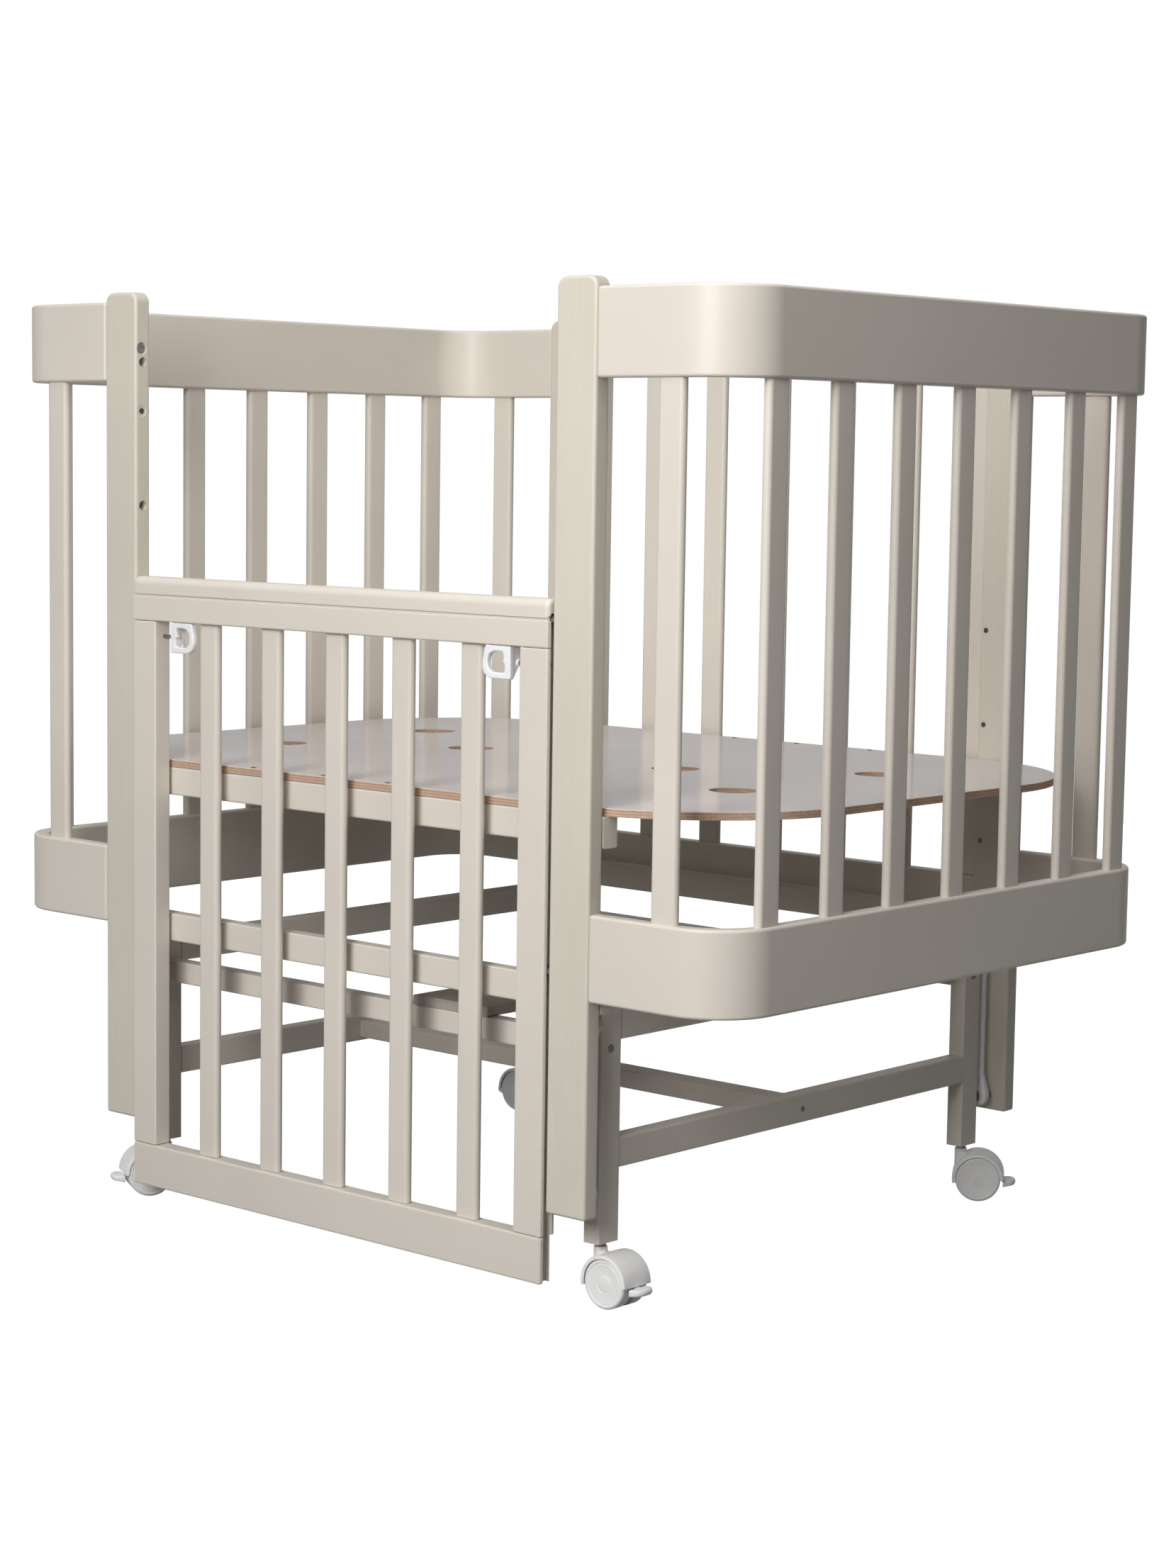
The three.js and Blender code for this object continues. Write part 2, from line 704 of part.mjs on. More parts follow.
// Swing links: two bosses joined by a narrow rod
{
  const span = upper_pivot_height - lower_pivot_height;
  const boss = () => pinAlongY(link_boss_radius, link_thickness, boss_sides);
  const rod = new THREE.BoxGeometry(link_rod_width, link_thickness, span);
  const bore = () => pinAlongY(pivot_pin_radius + running_gap, link_thickness + 2 * cut_overrun);
  const link = carve(
    boss(),
    [boss().translate(0, 0, -span), rod.translate(0, link_thickness / 2, -span / 2)],
    [bore().translate(0, -cut_overrun, 0), bore().translate(0, -cut_overrun, -span)],
  ).translate(0, -link_thickness / 2, 0);
  for (const [face, sy] of faces) {
    for (const [side, sx] of sides) {
      const place = [sx * post_x, sy * link_y, upper_pivot_height];
      piece(`link_${face}_${side}`, link.clone(), 'white_plastic', place);
    }
  }
}

// Casters

function casterHousing() {
  const axle = [caster_trail, wheel_radius];
  const hood_start = THREE.MathUtils.degToRad(5);
  const hood_end = THREE.MathUtils.degToRad(190);
  const hood = alongY([
    ...arc(...axle, hood_radius, hood_start, hood_end, hood_steps),
    ...arc(...axle, hood_inner_radius, hood_end, hood_start, hood_steps),
  ], hood_width).translate(0, -hood_width / 2, 0);
  const web_radius = (hood_radius + hood_inner_radius) / 2;
  const hub_start = THREE.MathUtils.degToRad(215);
  const hub_end = THREE.MathUtils.degToRad(325);
  const web = alongY([
    ...arc(...axle, web_radius, hood_start, hood_end, hood_steps),
    ...arc(...axle, web_hub_radius, hub_start, hub_end, corner_steps + 1),
  ], web_thickness).translate(0, -web_thickness / 2, 0);
  const collar = alongZ(circle(0, 0, collar_radius, pin_sides), collar_top - wheel_radius).translate(
    0, 0, wheel_radius,
  );
  const wheel_space = pinAlongY(hood_inner_radius, hood_width, wheel_sides).translate(
    caster_trail, -hood_width / 2, wheel_radius,
  );
  const stem = alongZ(
    circle(0, 0, stem_radius, pin_sides), leg_bottom + stem_insertion - collar_top + cut_overrun,
  ).translate(0, 0, collar_top - cut_overrun);
  const hub_bore = pinAlongY(wheel_hub_radius + running_gap, hood_width, wheel_sides).translate(
    caster_trail, -hood_width / 2, wheel_radius,
  );
  const pocket_x = caster_trail + pedal_pivot_x;
  const pocket_z = wheel_radius + pedal_pivot_z;
  const pocket_radius = pedal_boss_radius + running_gap;
  const pocket = pinAlongY(pocket_radius, web_thickness + 2 * cut_overrun).translate(
    pocket_x, -web_thickness / 2 - cut_overrun, pocket_z,
  );
  const mouth_steps = 1;
  const mouth_start = THREE.MathUtils.degToRad(-86 - pedal_travel);
  const mouth_end = THREE.MathUtils.degToRad(10);
  const mouth = alongY([
    new THREE.Vector2(pocket_x, pocket_z),
    ...arc(pocket_x, pocket_z, pedal_outer_x, mouth_start, mouth_end, mouth_steps),
  ], web_thickness + 2 * cut_overrun).translate(0, -web_thickness / 2 - cut_overrun, 0);
  const upper = solid(collar).subtract(solid(wheel_space)).add(solid(hood)).add(solid(stem));
  const lower = solid(web).subtract(solid(hub_bore)).subtract(solid(pocket)).subtract(solid(mouth));
  return surface(upper.add(lower));
}

function casterWheels() {
  const half = wheel_outer_width / 2;
  const face = half - wheel_face_recess;
  const inner = wheel_gap / 2;
  const side = [
    [0, face],
    [wheel_face_radius, face],
    [wheel_face_radius + wheel_face_recess, half],
    [wheel_radius - wheel_tread_round, half],
    [wheel_radius, half - wheel_tread_round],
    [wheel_radius, inner],
    [wheel_hub_radius, inner],
  ];
  const profile = [
    ...side.map(([radius, y]) => new THREE.Vector2(radius, -y)),
    ...side.reverse().map(([radius, y]) => new THREE.Vector2(radius, y)),
  ];
  return surface(solid(new THREE.LatheGeometry(profile, wheel_sides)));
}

function casterPedal() {
  const pivot = [pedal_pivot_x, pedal_pivot_z];
  const boss = pinAlongY(pedal_boss_radius, web_thickness).translate(pedal_pivot_x, 0, pedal_pivot_z);
  const tongue_middle = pedal_top_z - pedal_height / 2;
  const half_arm = pedal_arm_thickness / 2;
  const overlap_x = pedal_inner_x + pedal_edge * 2;
  const arm = alongY([
    new THREE.Vector2(pivot[0] - half_arm, pivot[1] - half_arm),
    new THREE.Vector2(overlap_x, tongue_middle - half_arm),
    new THREE.Vector2(overlap_x, tongue_middle + half_arm),
    new THREE.Vector2(pivot[0] + half_arm, pivot[1] + half_arm / 2),
  ], web_thickness);
  const tip = pedal_height / 2 - pedal_edge / 2;
  const tongue = alongY(
    roundedRectangle(
      pedal_length, pedal_height, [pedal_corner_radius, tip, tip, pedal_corner_radius],
    ),
    pedal_width, pedal_edge,
  ).translate(pedal_inner_x + pedal_length / 2, (web_thickness - pedal_width) / 2, tongue_middle);
  return carve(boss, [arm, tongue], []).translate(0, -web_thickness / 2, 0);
}

// Heading of each caster's trail, in degrees from +X
const caster_headings = { front_left: 242, front_right: 0, back_left: 179, back_right: 33 };

for (const [face, sy] of faces) {
  for (const [side, sx] of sides) {
    const corner = `${face}_${side}`;
    const caster = new THREE.Group();
    caster.position.set(sx * leg_x, sy * leg_y, 0);
    caster.rotation.z = THREE.MathUtils.degToRad(caster_headings[corner]);
    crib.add(caster);
    const axle = [caster_trail, 0, wheel_radius];
    piece(`caster_housing_${corner}`, casterHousing(), 'white_plastic', [0, 0, 0], caster);
    piece(`caster_wheels_${corner}`, casterWheels(), 'white_plastic', axle, caster);
    piece(`caster_pedal_${corner}`, casterPedal(), 'white_plastic', axle, caster);
  }
}

export default crib;
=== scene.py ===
import math

import bmesh
import bpy
from mathutils import Matrix, Vector


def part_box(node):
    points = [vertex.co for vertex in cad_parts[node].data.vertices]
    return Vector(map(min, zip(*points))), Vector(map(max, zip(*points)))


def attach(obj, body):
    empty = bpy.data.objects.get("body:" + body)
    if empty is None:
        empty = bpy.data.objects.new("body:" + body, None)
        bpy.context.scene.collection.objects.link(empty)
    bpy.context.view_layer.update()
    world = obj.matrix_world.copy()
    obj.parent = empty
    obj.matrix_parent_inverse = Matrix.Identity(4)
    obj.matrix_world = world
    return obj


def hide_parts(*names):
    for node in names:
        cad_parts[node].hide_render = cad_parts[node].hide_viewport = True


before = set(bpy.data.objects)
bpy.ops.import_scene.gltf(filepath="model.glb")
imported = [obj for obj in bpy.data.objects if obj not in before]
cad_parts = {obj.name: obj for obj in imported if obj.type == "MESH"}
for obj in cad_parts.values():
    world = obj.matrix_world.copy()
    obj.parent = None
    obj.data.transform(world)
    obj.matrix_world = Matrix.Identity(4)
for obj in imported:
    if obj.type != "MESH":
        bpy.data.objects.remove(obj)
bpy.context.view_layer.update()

# Pendulum crib, dressed round its CAD frame. Metres, +Z up, the lowering gate faces -Y.

MM = 0.001
SIDES = (("left", -1), ("right", 1))
FACES = (("front", -1), ("back", 1))
CORNERS = [(f"{face}_{side}", sx, sy) for face, sy in FACES for side, sx in SIDES]
X, Y, Z = range(3)


# Camera, fitted to the photograph's edges

CAMERA_PLACE = (2.2575, -2.5141, 0.8174)
CAMERA_RIGHT = (0.74688, 0.66479, 0.01449)
CAMERA_UP = (-0.08062, 0.06890, 0.99436)
CAMERA_LENS_MM = 70.915
CAMERA_SENSOR_MM = 36


def make_camera():
    data = bpy.data.cameras.new("camera")
    data.lens = CAMERA_LENS_MM
    data.sensor_width = CAMERA_SENSOR_MM
    camera = bpy.data.objects.new("camera", data)
    bpy.context.scene.collection.objects.link(camera)
    right = Vector(CAMERA_RIGHT).normalized()
    up = Vector(CAMERA_UP)
    up = (up - up.dot(right) * right).normalized()
    turn = Matrix((right, up, right.cross(up))).transposed()
    camera.matrix_world = Matrix.Translation(CAMERA_PLACE) @ turn.to_4x4()
    bpy.context.scene.camera = camera


make_camera()


# Node helpers

def srgb(red, green, blue):
    """Linear colour of an 8-bit one."""
    def linear(value):
        share = value / 255
        return share / 12.92 if share <= 0.04045 else ((share + 0.055) / 1.055) ** 2.4
    return (linear(red), linear(green), linear(blue), 1)


def grey(value):
    return (value, value, value, 1)


class Nodes:
    """A material's node tree, with short ways to add and join nodes."""

    def __init__(self, name):
        self.material = bpy.data.materials.new(name)
        self.material.use_nodes = True
        self.tree = self.material.node_tree
        self.shader = self.tree.nodes["Principled BSDF"]

    def add(self, kind, inputs=None, **settings):
        node = self.tree.nodes.new(kind)
        for key, value in settings.items():
            setattr(node, key, value)
        for key, value in (inputs or {}).items():
            if isinstance(value, bpy.types.NodeSocket):
                self.tree.links.new(value, node.inputs[key])
            else:
                node.inputs[key].default_value = value
        return node

    def link(self, output, key):
        self.tree.links.new(output, self.shader.inputs[key])

    def set(self, **values):
        for key, value in values.items():
            self.shader.inputs[key.replace("_", " ")].default_value = value

    def place(self, scale=(1, 1, 1)):
        coordinates = self.add("ShaderNodeTexCoord").outputs["Object"]
        return self.add("ShaderNodeMapping", {"Vector": coordinates, "Scale": scale}).outputs["Vector"]

    def noise(self, place, scale, detail=2, roughness=0.5):
        inputs = {"Vector": place, "Scale": scale, "Detail": detail, "Roughness": roughness}
        return self.add("ShaderNodeTexNoise", inputs).outputs["Fac"]

    def ramp(self, value, stops):
        node = self.add("ShaderNodeValToRGB", {"Fac": value})
        elements = node.color_ramp.elements
        while len(elements) < len(stops):
            elements.new(0.5)
        for element, (position, colour) in zip(elements, stops):
            element.position = position
            element.color = colour
        return node.outputs["Color"]

    def mix(self, share, first, second, blend="MIX"):
        node = self.add("ShaderNodeMix", data_type="RGBA", blend_type=blend)
        sockets = {s.identifier: s for s in node.inputs}
        for identifier, value in (
            ("Factor_Float", share), ("A_Color", first), ("B_Color", second),
        ):
            if isinstance(value, bpy.types.NodeSocket):
                self.tree.links.new(value, sockets[identifier])
            else:
                sockets[identifier].default_value = value
        return next(s for s in node.outputs if s.identifier == "Result_Color")

    def bump(self, height, strength, distance):
        inputs = {"Height": height, "Strength": strength, "Distance": distance}
        return self.add("ShaderNodeBump", inputs).outputs["Normal"]

    def maths(self, operation, *values):
        node = self.add("ShaderNodeMath", operation=operation)
        for socket, value in zip(node.inputs, values):
            if isinstance(value, bpy.types.NodeSocket):
                self.tree.links.new(value, socket)
            else:
                socket.default_value = value
        return node.outputs["Value"]


# Materials

GRAIN_ALONG = {"x": (0.06, 1, 1), "y": (1, 0.06, 1), "z": (1, 1, 0.06)}


def painted_wood(name, light, dark, along, grain, roughness):
    """Sprayed enamel over beech: faint cloudy tone, orange peel and the grain's ridges below."""
    n = Nodes(name)
    cloud = n.noise(n.place(), 6, 3)
    streaks = n.noise(n.place(GRAIN_ALONG[along]), 240, 4, 0.6)
    peel = n.noise(n.place(), 700, 2)
    tone = n.ramp(cloud, ((0.3, srgb(*dark)), (0.7, srgb(*light))))
    streak_tone = n.ramp(streaks, ((0.35, (0.93, 0.93, 0.925, 1)), (0.62, (1, 1, 1, 1))))
    n.link(n.mix(grain, tone, streak_tone, "MULTIPLY"), "Base Color")
    n.link(n.ramp(cloud, ((0.2, grey(roughness * 0.92)), (0.8, grey(roughness * 1.08)))), "Roughness")
    height = n.maths("ADD", n.maths("MULTIPLY", streaks, grain), n.maths("MULTIPLY", peel, 0.25))
    n.link(n.bump(height, 0.2, 0.00015), "Normal")
    n.set(Specular_IOR_Level=0.35)
    return n.material


PAINT_LIGHT = (222, 214, 203)
PAINT_DARK = (217, 209, 198)
POST_LIGHT = (214, 208, 194)
POST_DARK = (208, 202, 188)
PAINT = {
    along: painted_wood(f"paint_{along}", PAINT_LIGHT, PAINT_DARK, along, 0.12, 0.37)
    for along in GRAIN_ALONG
}
POST_PAINT = painted_wood("post_paint", POST_LIGHT, POST_DARK, "z", 0.35, 0.36)
# The stand's plank gets darker paint than the rest: painted shade, standing for the shadow it lies in under
# the cot.
PLANK_PAINTED_SHADE = painted_wood("plank_painted_shade", (176, 168, 158), (168, 160, 150), "y", 0.5, 0.45)


def board_material():
    """Plywood: a glossy pale laminate on its faces and bare brown layers at its edges and holes."""
    n = Nodes("board_laminate")
    low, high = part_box("mattress_board")
    normal = n.add("ShaderNodeTexCoord").outputs["Normal"]
    upward = n.add("ShaderNodeSeparateXYZ", {"Vector": normal}).outputs["Z"]
    height = n.add("ShaderNodeSeparateXYZ", {"Vector": n.place()}).outputs["Z"]
    rise = n.maths("DIVIDE", n.maths("SUBTRACT", height, low.z), high.z - low.z)
    flat = n.maths("GREATER_THAN", n.maths("ABSOLUTE", upward), 0.8)
    film = n.maths("GREATER_THAN", n.maths("ABSOLUTE", n.maths("SUBTRACT", rise, 0.5)), 0.45)
    faced = n.maths("MAXIMUM", flat, film)
    layer = n.maths("FRACT", n.maths("MULTIPLY", rise, 3))
    dark_ply = srgb(158, 124, 100)
    pale_ply = srgb(206, 174, 150)
    layers = n.ramp(layer, ((0.38, dark_ply), (0.5, pale_ply), (0.92, pale_ply), (1, dark_ply)))
    grain = n.noise(n.place((1, 1, 4)), 300, 3)
    fibres = n.ramp(grain, ((0.3, srgb(158, 124, 102)), (0.7, srgb(212, 184, 160))))
    cloud = n.noise(n.place(), 5, 2)
    face = n.ramp(cloud, ((0.3, srgb(214, 206, 204)), (0.7, srgb(220, 212, 210))))
    n.link(n.mix(faced, n.mix(0.5, layers, fibres), face), "Base Color")
    n.link(n.ramp(faced, ((0, grey(0.7)), (1, grey(0.15)))), "Roughness")
    n.link(n.bump(n.noise(n.place(), 40, 2), 0.04, 0.0004), "Normal")
    return n.material


def plastic(name, light, dark, roughness, depth):
    """Moulded plastic with a fine matt grain and slight flow marks."""
    n = Nodes(name)
    cloud = n.noise(n.place(), 40, 2)
    fine = n.noise(n.place(), 1800, 2)
    n.link(n.ramp(cloud, ((0.3, srgb(*dark)), (0.7, srgb(*light)))), "Base Color")
    n.link(n.ramp(fine, ((0, grey(roughness * 0.85)), (1, grey(roughness * 1.15)))), "Roughness")
    n.link(n.bump(fine, 0.06, 0.0001), "Normal")
    n.set(Subsurface_Weight=depth, Subsurface_Radius=(0.006,) * 3, Specular_IOR_Level=0.4)
    return n.material


def steel_material(name, light, dark, roughness):
    """Zinc-plated steel, lightly brushed and clouded."""
    n = Nodes(name)
    brushed = n.noise(n.place((1, 1, 0.2)), 900, 3)
    n.link(n.ramp(brushed, ((0.3, srgb(*dark)), (0.7, srgb(*light)))), "Base Color")
    n.link(n.ramp(brushed, ((0, grey(roughness * 0.8)), (1, grey(roughness * 1.2)))), "Roughness")
    n.set(Metallic=1)
    return n.material


BOARD = board_material()
WHITE_PLASTIC = plastic("white_plastic", (242, 242, 243), (238, 238, 240), 0.32, 0.35)
CASTER_PLASTIC = plastic("caster_plastic", (246, 245, 244), (242, 241, 240), 0.38, 0.2)
STEEL = steel_material("steel", (168, 168, 170), (140, 140, 143), 0.3)
# Darker than the other steel: partly the screws' own steel, partly painted shade standing for the dark
# recesses the screws sit in.
SCREW_STEEL_AND_PAINTED_SHADE = steel_material("screw_steel_and_painted_shade", (120, 118, 115), (88, 86, 84), 0.34)
BOLT_STEEL = steel_material("bolt_steel", (176, 174, 172), (140, 138, 136), 0.42)


# Solids, in millimetres

EDGE_STEPS = 4
ROUND_SIDES = 40
OVERRUN = 3
RUNNING_GAP = 0.3


def box_mm(node):
    low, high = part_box(node)
    return low / MM, high / MM


def mirror(vector, sx, sy):
    return Vector((vector[X] * sx, vector[Y] * sy, vector[Z]))


def arc(x, y, radius, start, end, steps):
    """Points on an arc, angles in degrees."""
    angles = [math.radians(start + (end - start) * i / steps) for i in range(steps + 1)]
    return [(x + radius * math.cos(a), y + radius * math.sin(a)) for a in angles]


def rounded_rectangle(width, height, radii, steps=EDGE_STEPS):
    """Outline about the origin, radii in the order bottom-left, bottom-right, top-right, top-left."""
    points = []
    for index, (sx, sy) in enumerate(((-1, -1), (1, -1), (1, 1), (-1, 1))):
        radius = radii[index]
        x = sx * (width / 2 - radius)
        y = sy * (height / 2 - radius)
        points += arc(x, y, radius, 180 + 90 * index, 270 + 90 * index, steps)
    return points


def rounded_polygon(corners, steps=6):
    """Outline through corners given as (x, z, how far the rounding reaches back)."""
    points = []
    for i, (x, z, back) in enumerate(corners):
        corner = Vector((x, z))
        ends = []
        for other in (corners[i - 1], corners[(i + 1) % len(corners)]):
            side = Vector(other[:2]) - corner
            ends.append(corner + side.normalized() * min(back, side.length * 0.49))
        for step in range(steps + 1):
            t = step / steps
            points.append(tuple(ends[0] * (1 - t) ** 2 + corner * 2 * t * (1 - t) + ends[1] * t ** 2))
    return points


def rounded_end(edge):
    """(Inset, distance along) of the rings of a bar's first end, rounded over."""
    turns = [math.pi / 2 * i / EDGE_STEPS for i in range(EDGE_STEPS + 1)]
    return [(edge * (1 - math.sin(a)), edge * (1 - math.cos(a))) for a in turns]


def rounded_ends(length, edge):
    """The same for both ends."""
    first = rounded_end(edge)
    return first + [(inset, length - along) for inset, along in reversed(first)]


class Solid:
    """Closed solids gathered into one mesh."""

    def __init__(self):
        self.points = []
        self.faces = []

    def loft(self, rings, closed=False):
        """Skins a row of equal rings, capped at both ends or joined up."""
        start = len(self.points)
        count = len(rings[0])
        for ring in rings:
            self.points += ring
        rows = len(rings) if closed else len(rings) - 1
        for row in range(rows):
            first = start + row * count
            second = start + (row + 1) % len(rings) * count
            for i in range(count):
                j = (i + 1) % count
                self.faces.append((first + i, first + j, second + j, second + i))
        if not closed:
            self.faces.append([start + i for i in range(count)])
            self.faces.append([start + rows * count + i for i in range(count)])
        return self

    def bar(self, low, high, axis, radii, end=0.5, steps=EDGE_STEPS):
        """Fills the box from low to high, with rounded long edges and rounded ends along axis."""
        u, v = (axis + 1) % 3, (axis + 2) % 3
        rings = []
        for inset, along in rounded_ends(high[axis] - low[axis], end):
            width = high[u] - low[u] - 2 * inset
            height = high[v] - low[v] - 2 * inset
            ring = []
            for a, b in rounded_rectangle(width, height, [max(r - inset, 0.05) for r in radii], steps):
                point = Vector()
                point[axis] = low[axis] + along
                point[u] = (low[u] + high[u]) / 2 + a
                point[v] = (low[v] + high[v]) / 2 + b
                ring.append(point)
            rings.append(ring)
        return self.loft(rings)

    def plate(self, outline, low_y, high_y):
        """An outline in X and Z, from low_y to high_y."""
        return self.loft([[Vector((x, y, z)) for x, z in outline] for y in (low_y, high_y)])

    def lathe(self, profile, place=Matrix(), sides=ROUND_SIDES):
        """Turns a profile of (radius, height) about Z, then places it."""
        rings = []
        for radius, height in profile:
            ring = arc(0, 0, radius, 0, 360, sides)[:sides]
            rings.append([place @ Vector((x, y, height)) for x, y in ring])
        return self.loft(rings)


def axis_frame(place, direction):
    """The matrix that stands Z along a direction at a place."""
    turn = Vector(direction).to_track_quat("Z", "Y").to_matrix().to_4x4()
    return Matrix.Translation(Vector(place)) @ turn


def build(name, solid, place=Matrix()):
    """Makes the object: metres, merged, normals out."""
    sheet = bmesh.new()
    vertices = [sheet.verts.new(place @ Vector(point) * MM) for point in solid.points]
    for face in solid.faces:
        sheet.faces.new([vertices[i] for i in face])
    bmesh.ops.remove_doubles(sheet, verts=sheet.verts, dist=1e-6)
    bmesh.ops.recalc_face_normals(sheet, faces=sheet.faces)
    mesh = bpy.data.meshes.new(name)
    sheet.to_mesh(mesh)
    sheet.free()
    piece = bpy.data.objects.new(name, mesh)
    bpy.context.scene.collection.objects.link(piece)
    return piece


def settle(piece):
    """Applies a piece's modifiers."""
    bpy.context.view_layer.update()
    ready = piece.evaluated_get(bpy.context.evaluated_depsgraph_get())
    mesh = bpy.data.meshes.new_from_object(ready)
    piece.modifiers.clear()
    piece.data = mesh


def combine(piece, solid, operation):
    """Adds a solid to a piece (UNION) or takes it away (DIFFERENCE)."""
    tool = build("tool", solid)
    join = piece.modifiers.new("join", "BOOLEAN")
    join.operation = operation
    join.solver = "EXACT"
    join.use_self = True
    join.object = tool
    settle(piece)
    bpy.data.objects.remove(tool)


def melt(piece, voxel, rounds):
    """Joins overlapping lumps into one skin with softened edges."""
    skin = piece.modifiers.new("skin", "REMESH")
    skin.mode = "VOXEL"
    skin.voxel_size = voxel * MM
    soften = piece.modifiers.new("soften", "SMOOTH")
    soften.iterations = rounds
    thin = piece.modifiers.new("thin", "DECIMATE")
    thin.ratio = 0.4
    settle(piece)


def finish(piece, material, body, slot, *nodes, sharp=35, weighted=True):
    """Material, shading, the body it rides on and the CAD nodes it stands for. The slot is not used."""
    piece.data.materials.clear()
    piece.data.materials.append(material)
    piece.data.shade_smooth()
    piece.data.set_sharp_from_angle(angle=math.radians(sharp))
    if weighted:
        normals = piece.modifiers.new("normals", "WEIGHTED_NORMAL")
        normals.keep_sharp = True
    if nodes:
        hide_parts(*nodes)
    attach(piece, body)


# CAD nodes that keep their shape

def dress(node, material):
    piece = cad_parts[node]
    piece.data.materials.clear()
    piece.data.materials.append(material)
    for polygon in piece.data.polygons:
        polygon.use_smooth = True
    merge = piece.modifiers.new("planar", "DECIMATE")
    merge.decimate_type = "DISSOLVE"
    merge.angle_limit = math.radians(1)
    bevel = piece.modifiers.new("edges", "BEVEL")
    bevel.width = 0.5 * MM
    bevel.segments = 2
    bevel.limit_method = "ANGLE"
    bevel.angle_limit = math.radians(25)
    bevel.harden_normals = True


def grain_of(node):
    low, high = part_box(node)
    size = high - low
    return "xyz"[max(range(3), key=lambda i: size[i])]


KEPT = [
    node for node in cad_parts
    if node.startswith(("board_", "lower_rail", "leg_", "stand_", "gate_bottom", "back_stile"))
]
for node in KEPT:
    dress(node, PLANK_PAINTED_SHADE if node == "stand_plank" else PAINT[grain_of(node)])


# Posts: rounded boards, with the latch holes and the pins that guide the gate

POST_EDGE = 3.4
POST_FOOT = 3
POST_CORNER = 11
POST_STEPS = 8
POST_WIDTH = 50
POST_DEPTH = 20
POST_INNER_X = 301.5
POST_INNER_Y = 343.5
PIN_LINE_Y = 357.5
LATCH_LINE_Y = 355
POST_MIDDLE_Y = 353.5
LATCH_HOLES = (911.7, 759.7)
LATCH_HOLE_RADIUS = 5.2
LATCH_HOLE_DEPTH = 12
BOLT_Z = 926
NUT_Z = 860
BORES = ((BOLT_Z, 6.6, 2), (NUT_Z, 6, 0.5))
BORE_START = -5
BOLT_Y = 355
GUIDE_PINS = (665.1, 330)
GUIDE_PIN_RADIUS = 5.6
GUIDE_PIN_REACH = 7.5
PIVOT_X = 326.5
LOWER_PIVOT_Z = 112.5
UPPER_PIVOT_Z = 275
PIVOT_RADIUS = 4
PIVOT_SHOULDER = 7
LINK_FACES = (326.4, 336.4)


def pin_profile(radius, length, edge=0.5, foot=-1):
    """A pin from foot to length, with its far edge cut."""
    return [(0, foot), (radius, foot), (radius, length - edge), (radius - edge, length), (0, length)]


def make_post(corner, sx, sy):
    node = f"post_{corner}"
    node_low, node_high = box_mm(node)
    low_x, high_x = sorted((sx * POST_INNER_X, sx * (POST_INNER_X + POST_WIDTH)))
    low_y, high_y = sorted((sy * POST_INNER_Y, sy * (POST_INNER_Y + POST_DEPTH)))
    low = Vector((low_x, low_y, node_low.z))
    high = Vector((high_x, high_y, node_high.z))
    radii = (POST_FOOT, POST_CORNER, POST_CORNER, POST_FOOT)
    post = build(f"{node}_board", Solid().bar(low, high, Y, radii, POST_EDGE, POST_STEPS))
    pins = Solid()
    if sy < 0:
        holes = Solid()
        for height in LATCH_HOLES:
            place = axis_frame((sx * POST_INNER_X, -POST_MIDDLE_Y, height), (sx, 0, 0))
            holes.lathe(pin_profile(LATCH_HOLE_RADIUS, LATCH_HOLE_DEPTH, foot=BORE_START), place)
        for height, radius, depth in BORES:
            place = axis_frame((sx * POST_INNER_X, -BOLT_Y, height), (sx, 0, 0))
            holes.lathe(pin_profile(radius, depth, 0.4, BORE_START), place)
        combine(post, holes, "DIFFERENCE")
        for height in GUIDE_PINS:
            place = axis_frame((sx * POST_INNER_X, -PIN_LINE_Y, height), (-sx, 0, 0))
            pins.lathe(pin_profile(GUIDE_PIN_RADIUS, GUIDE_PIN_REACH), place)
    stub = axis_frame((sx * PIVOT_X, sy * POST_INNER_Y, LOWER_PIVOT_Z), (0, -sy, 0))
    shoulder = POST_INNER_Y - LINK_FACES[1] - RUNNING_GAP
    tip = POST_INNER_Y - LINK_FACES[0]
    wide = [(0, -1), (PIVOT_SHOULDER, -1), (PIVOT_SHOULDER, shoulder)]
    pins.lathe(wide + [(PIVOT_RADIUS, shoulder), (PIVOT_RADIUS, tip), (0, tip)], stub)
    finish(post, POST_PAINT, "cot", "post_paint", node)
    finish(build(f"{node}_pins", pins), STEEL, "cot", "steel")


for corner, sx, sy in CORNERS:
    make_post(corner, sx, sy)


# Bent end rails and their slats

RAIL_START_X = 351.8
RAIL_THICKNESS = 17
RAIL_BEND_RADIUS = 57.5
RAIL_EDGE = 3.2
BEND_STEPS = 24
SLAT_EDGE = 4.5
END_SLATS = 7
END_SLAT_INSET = 67.4
SIDE_SLAT_X = 439
SLAT_HALF_WIDTH = 15
SLAT_HALF_THICKNESS = 5
SLAT_SEAT = 1


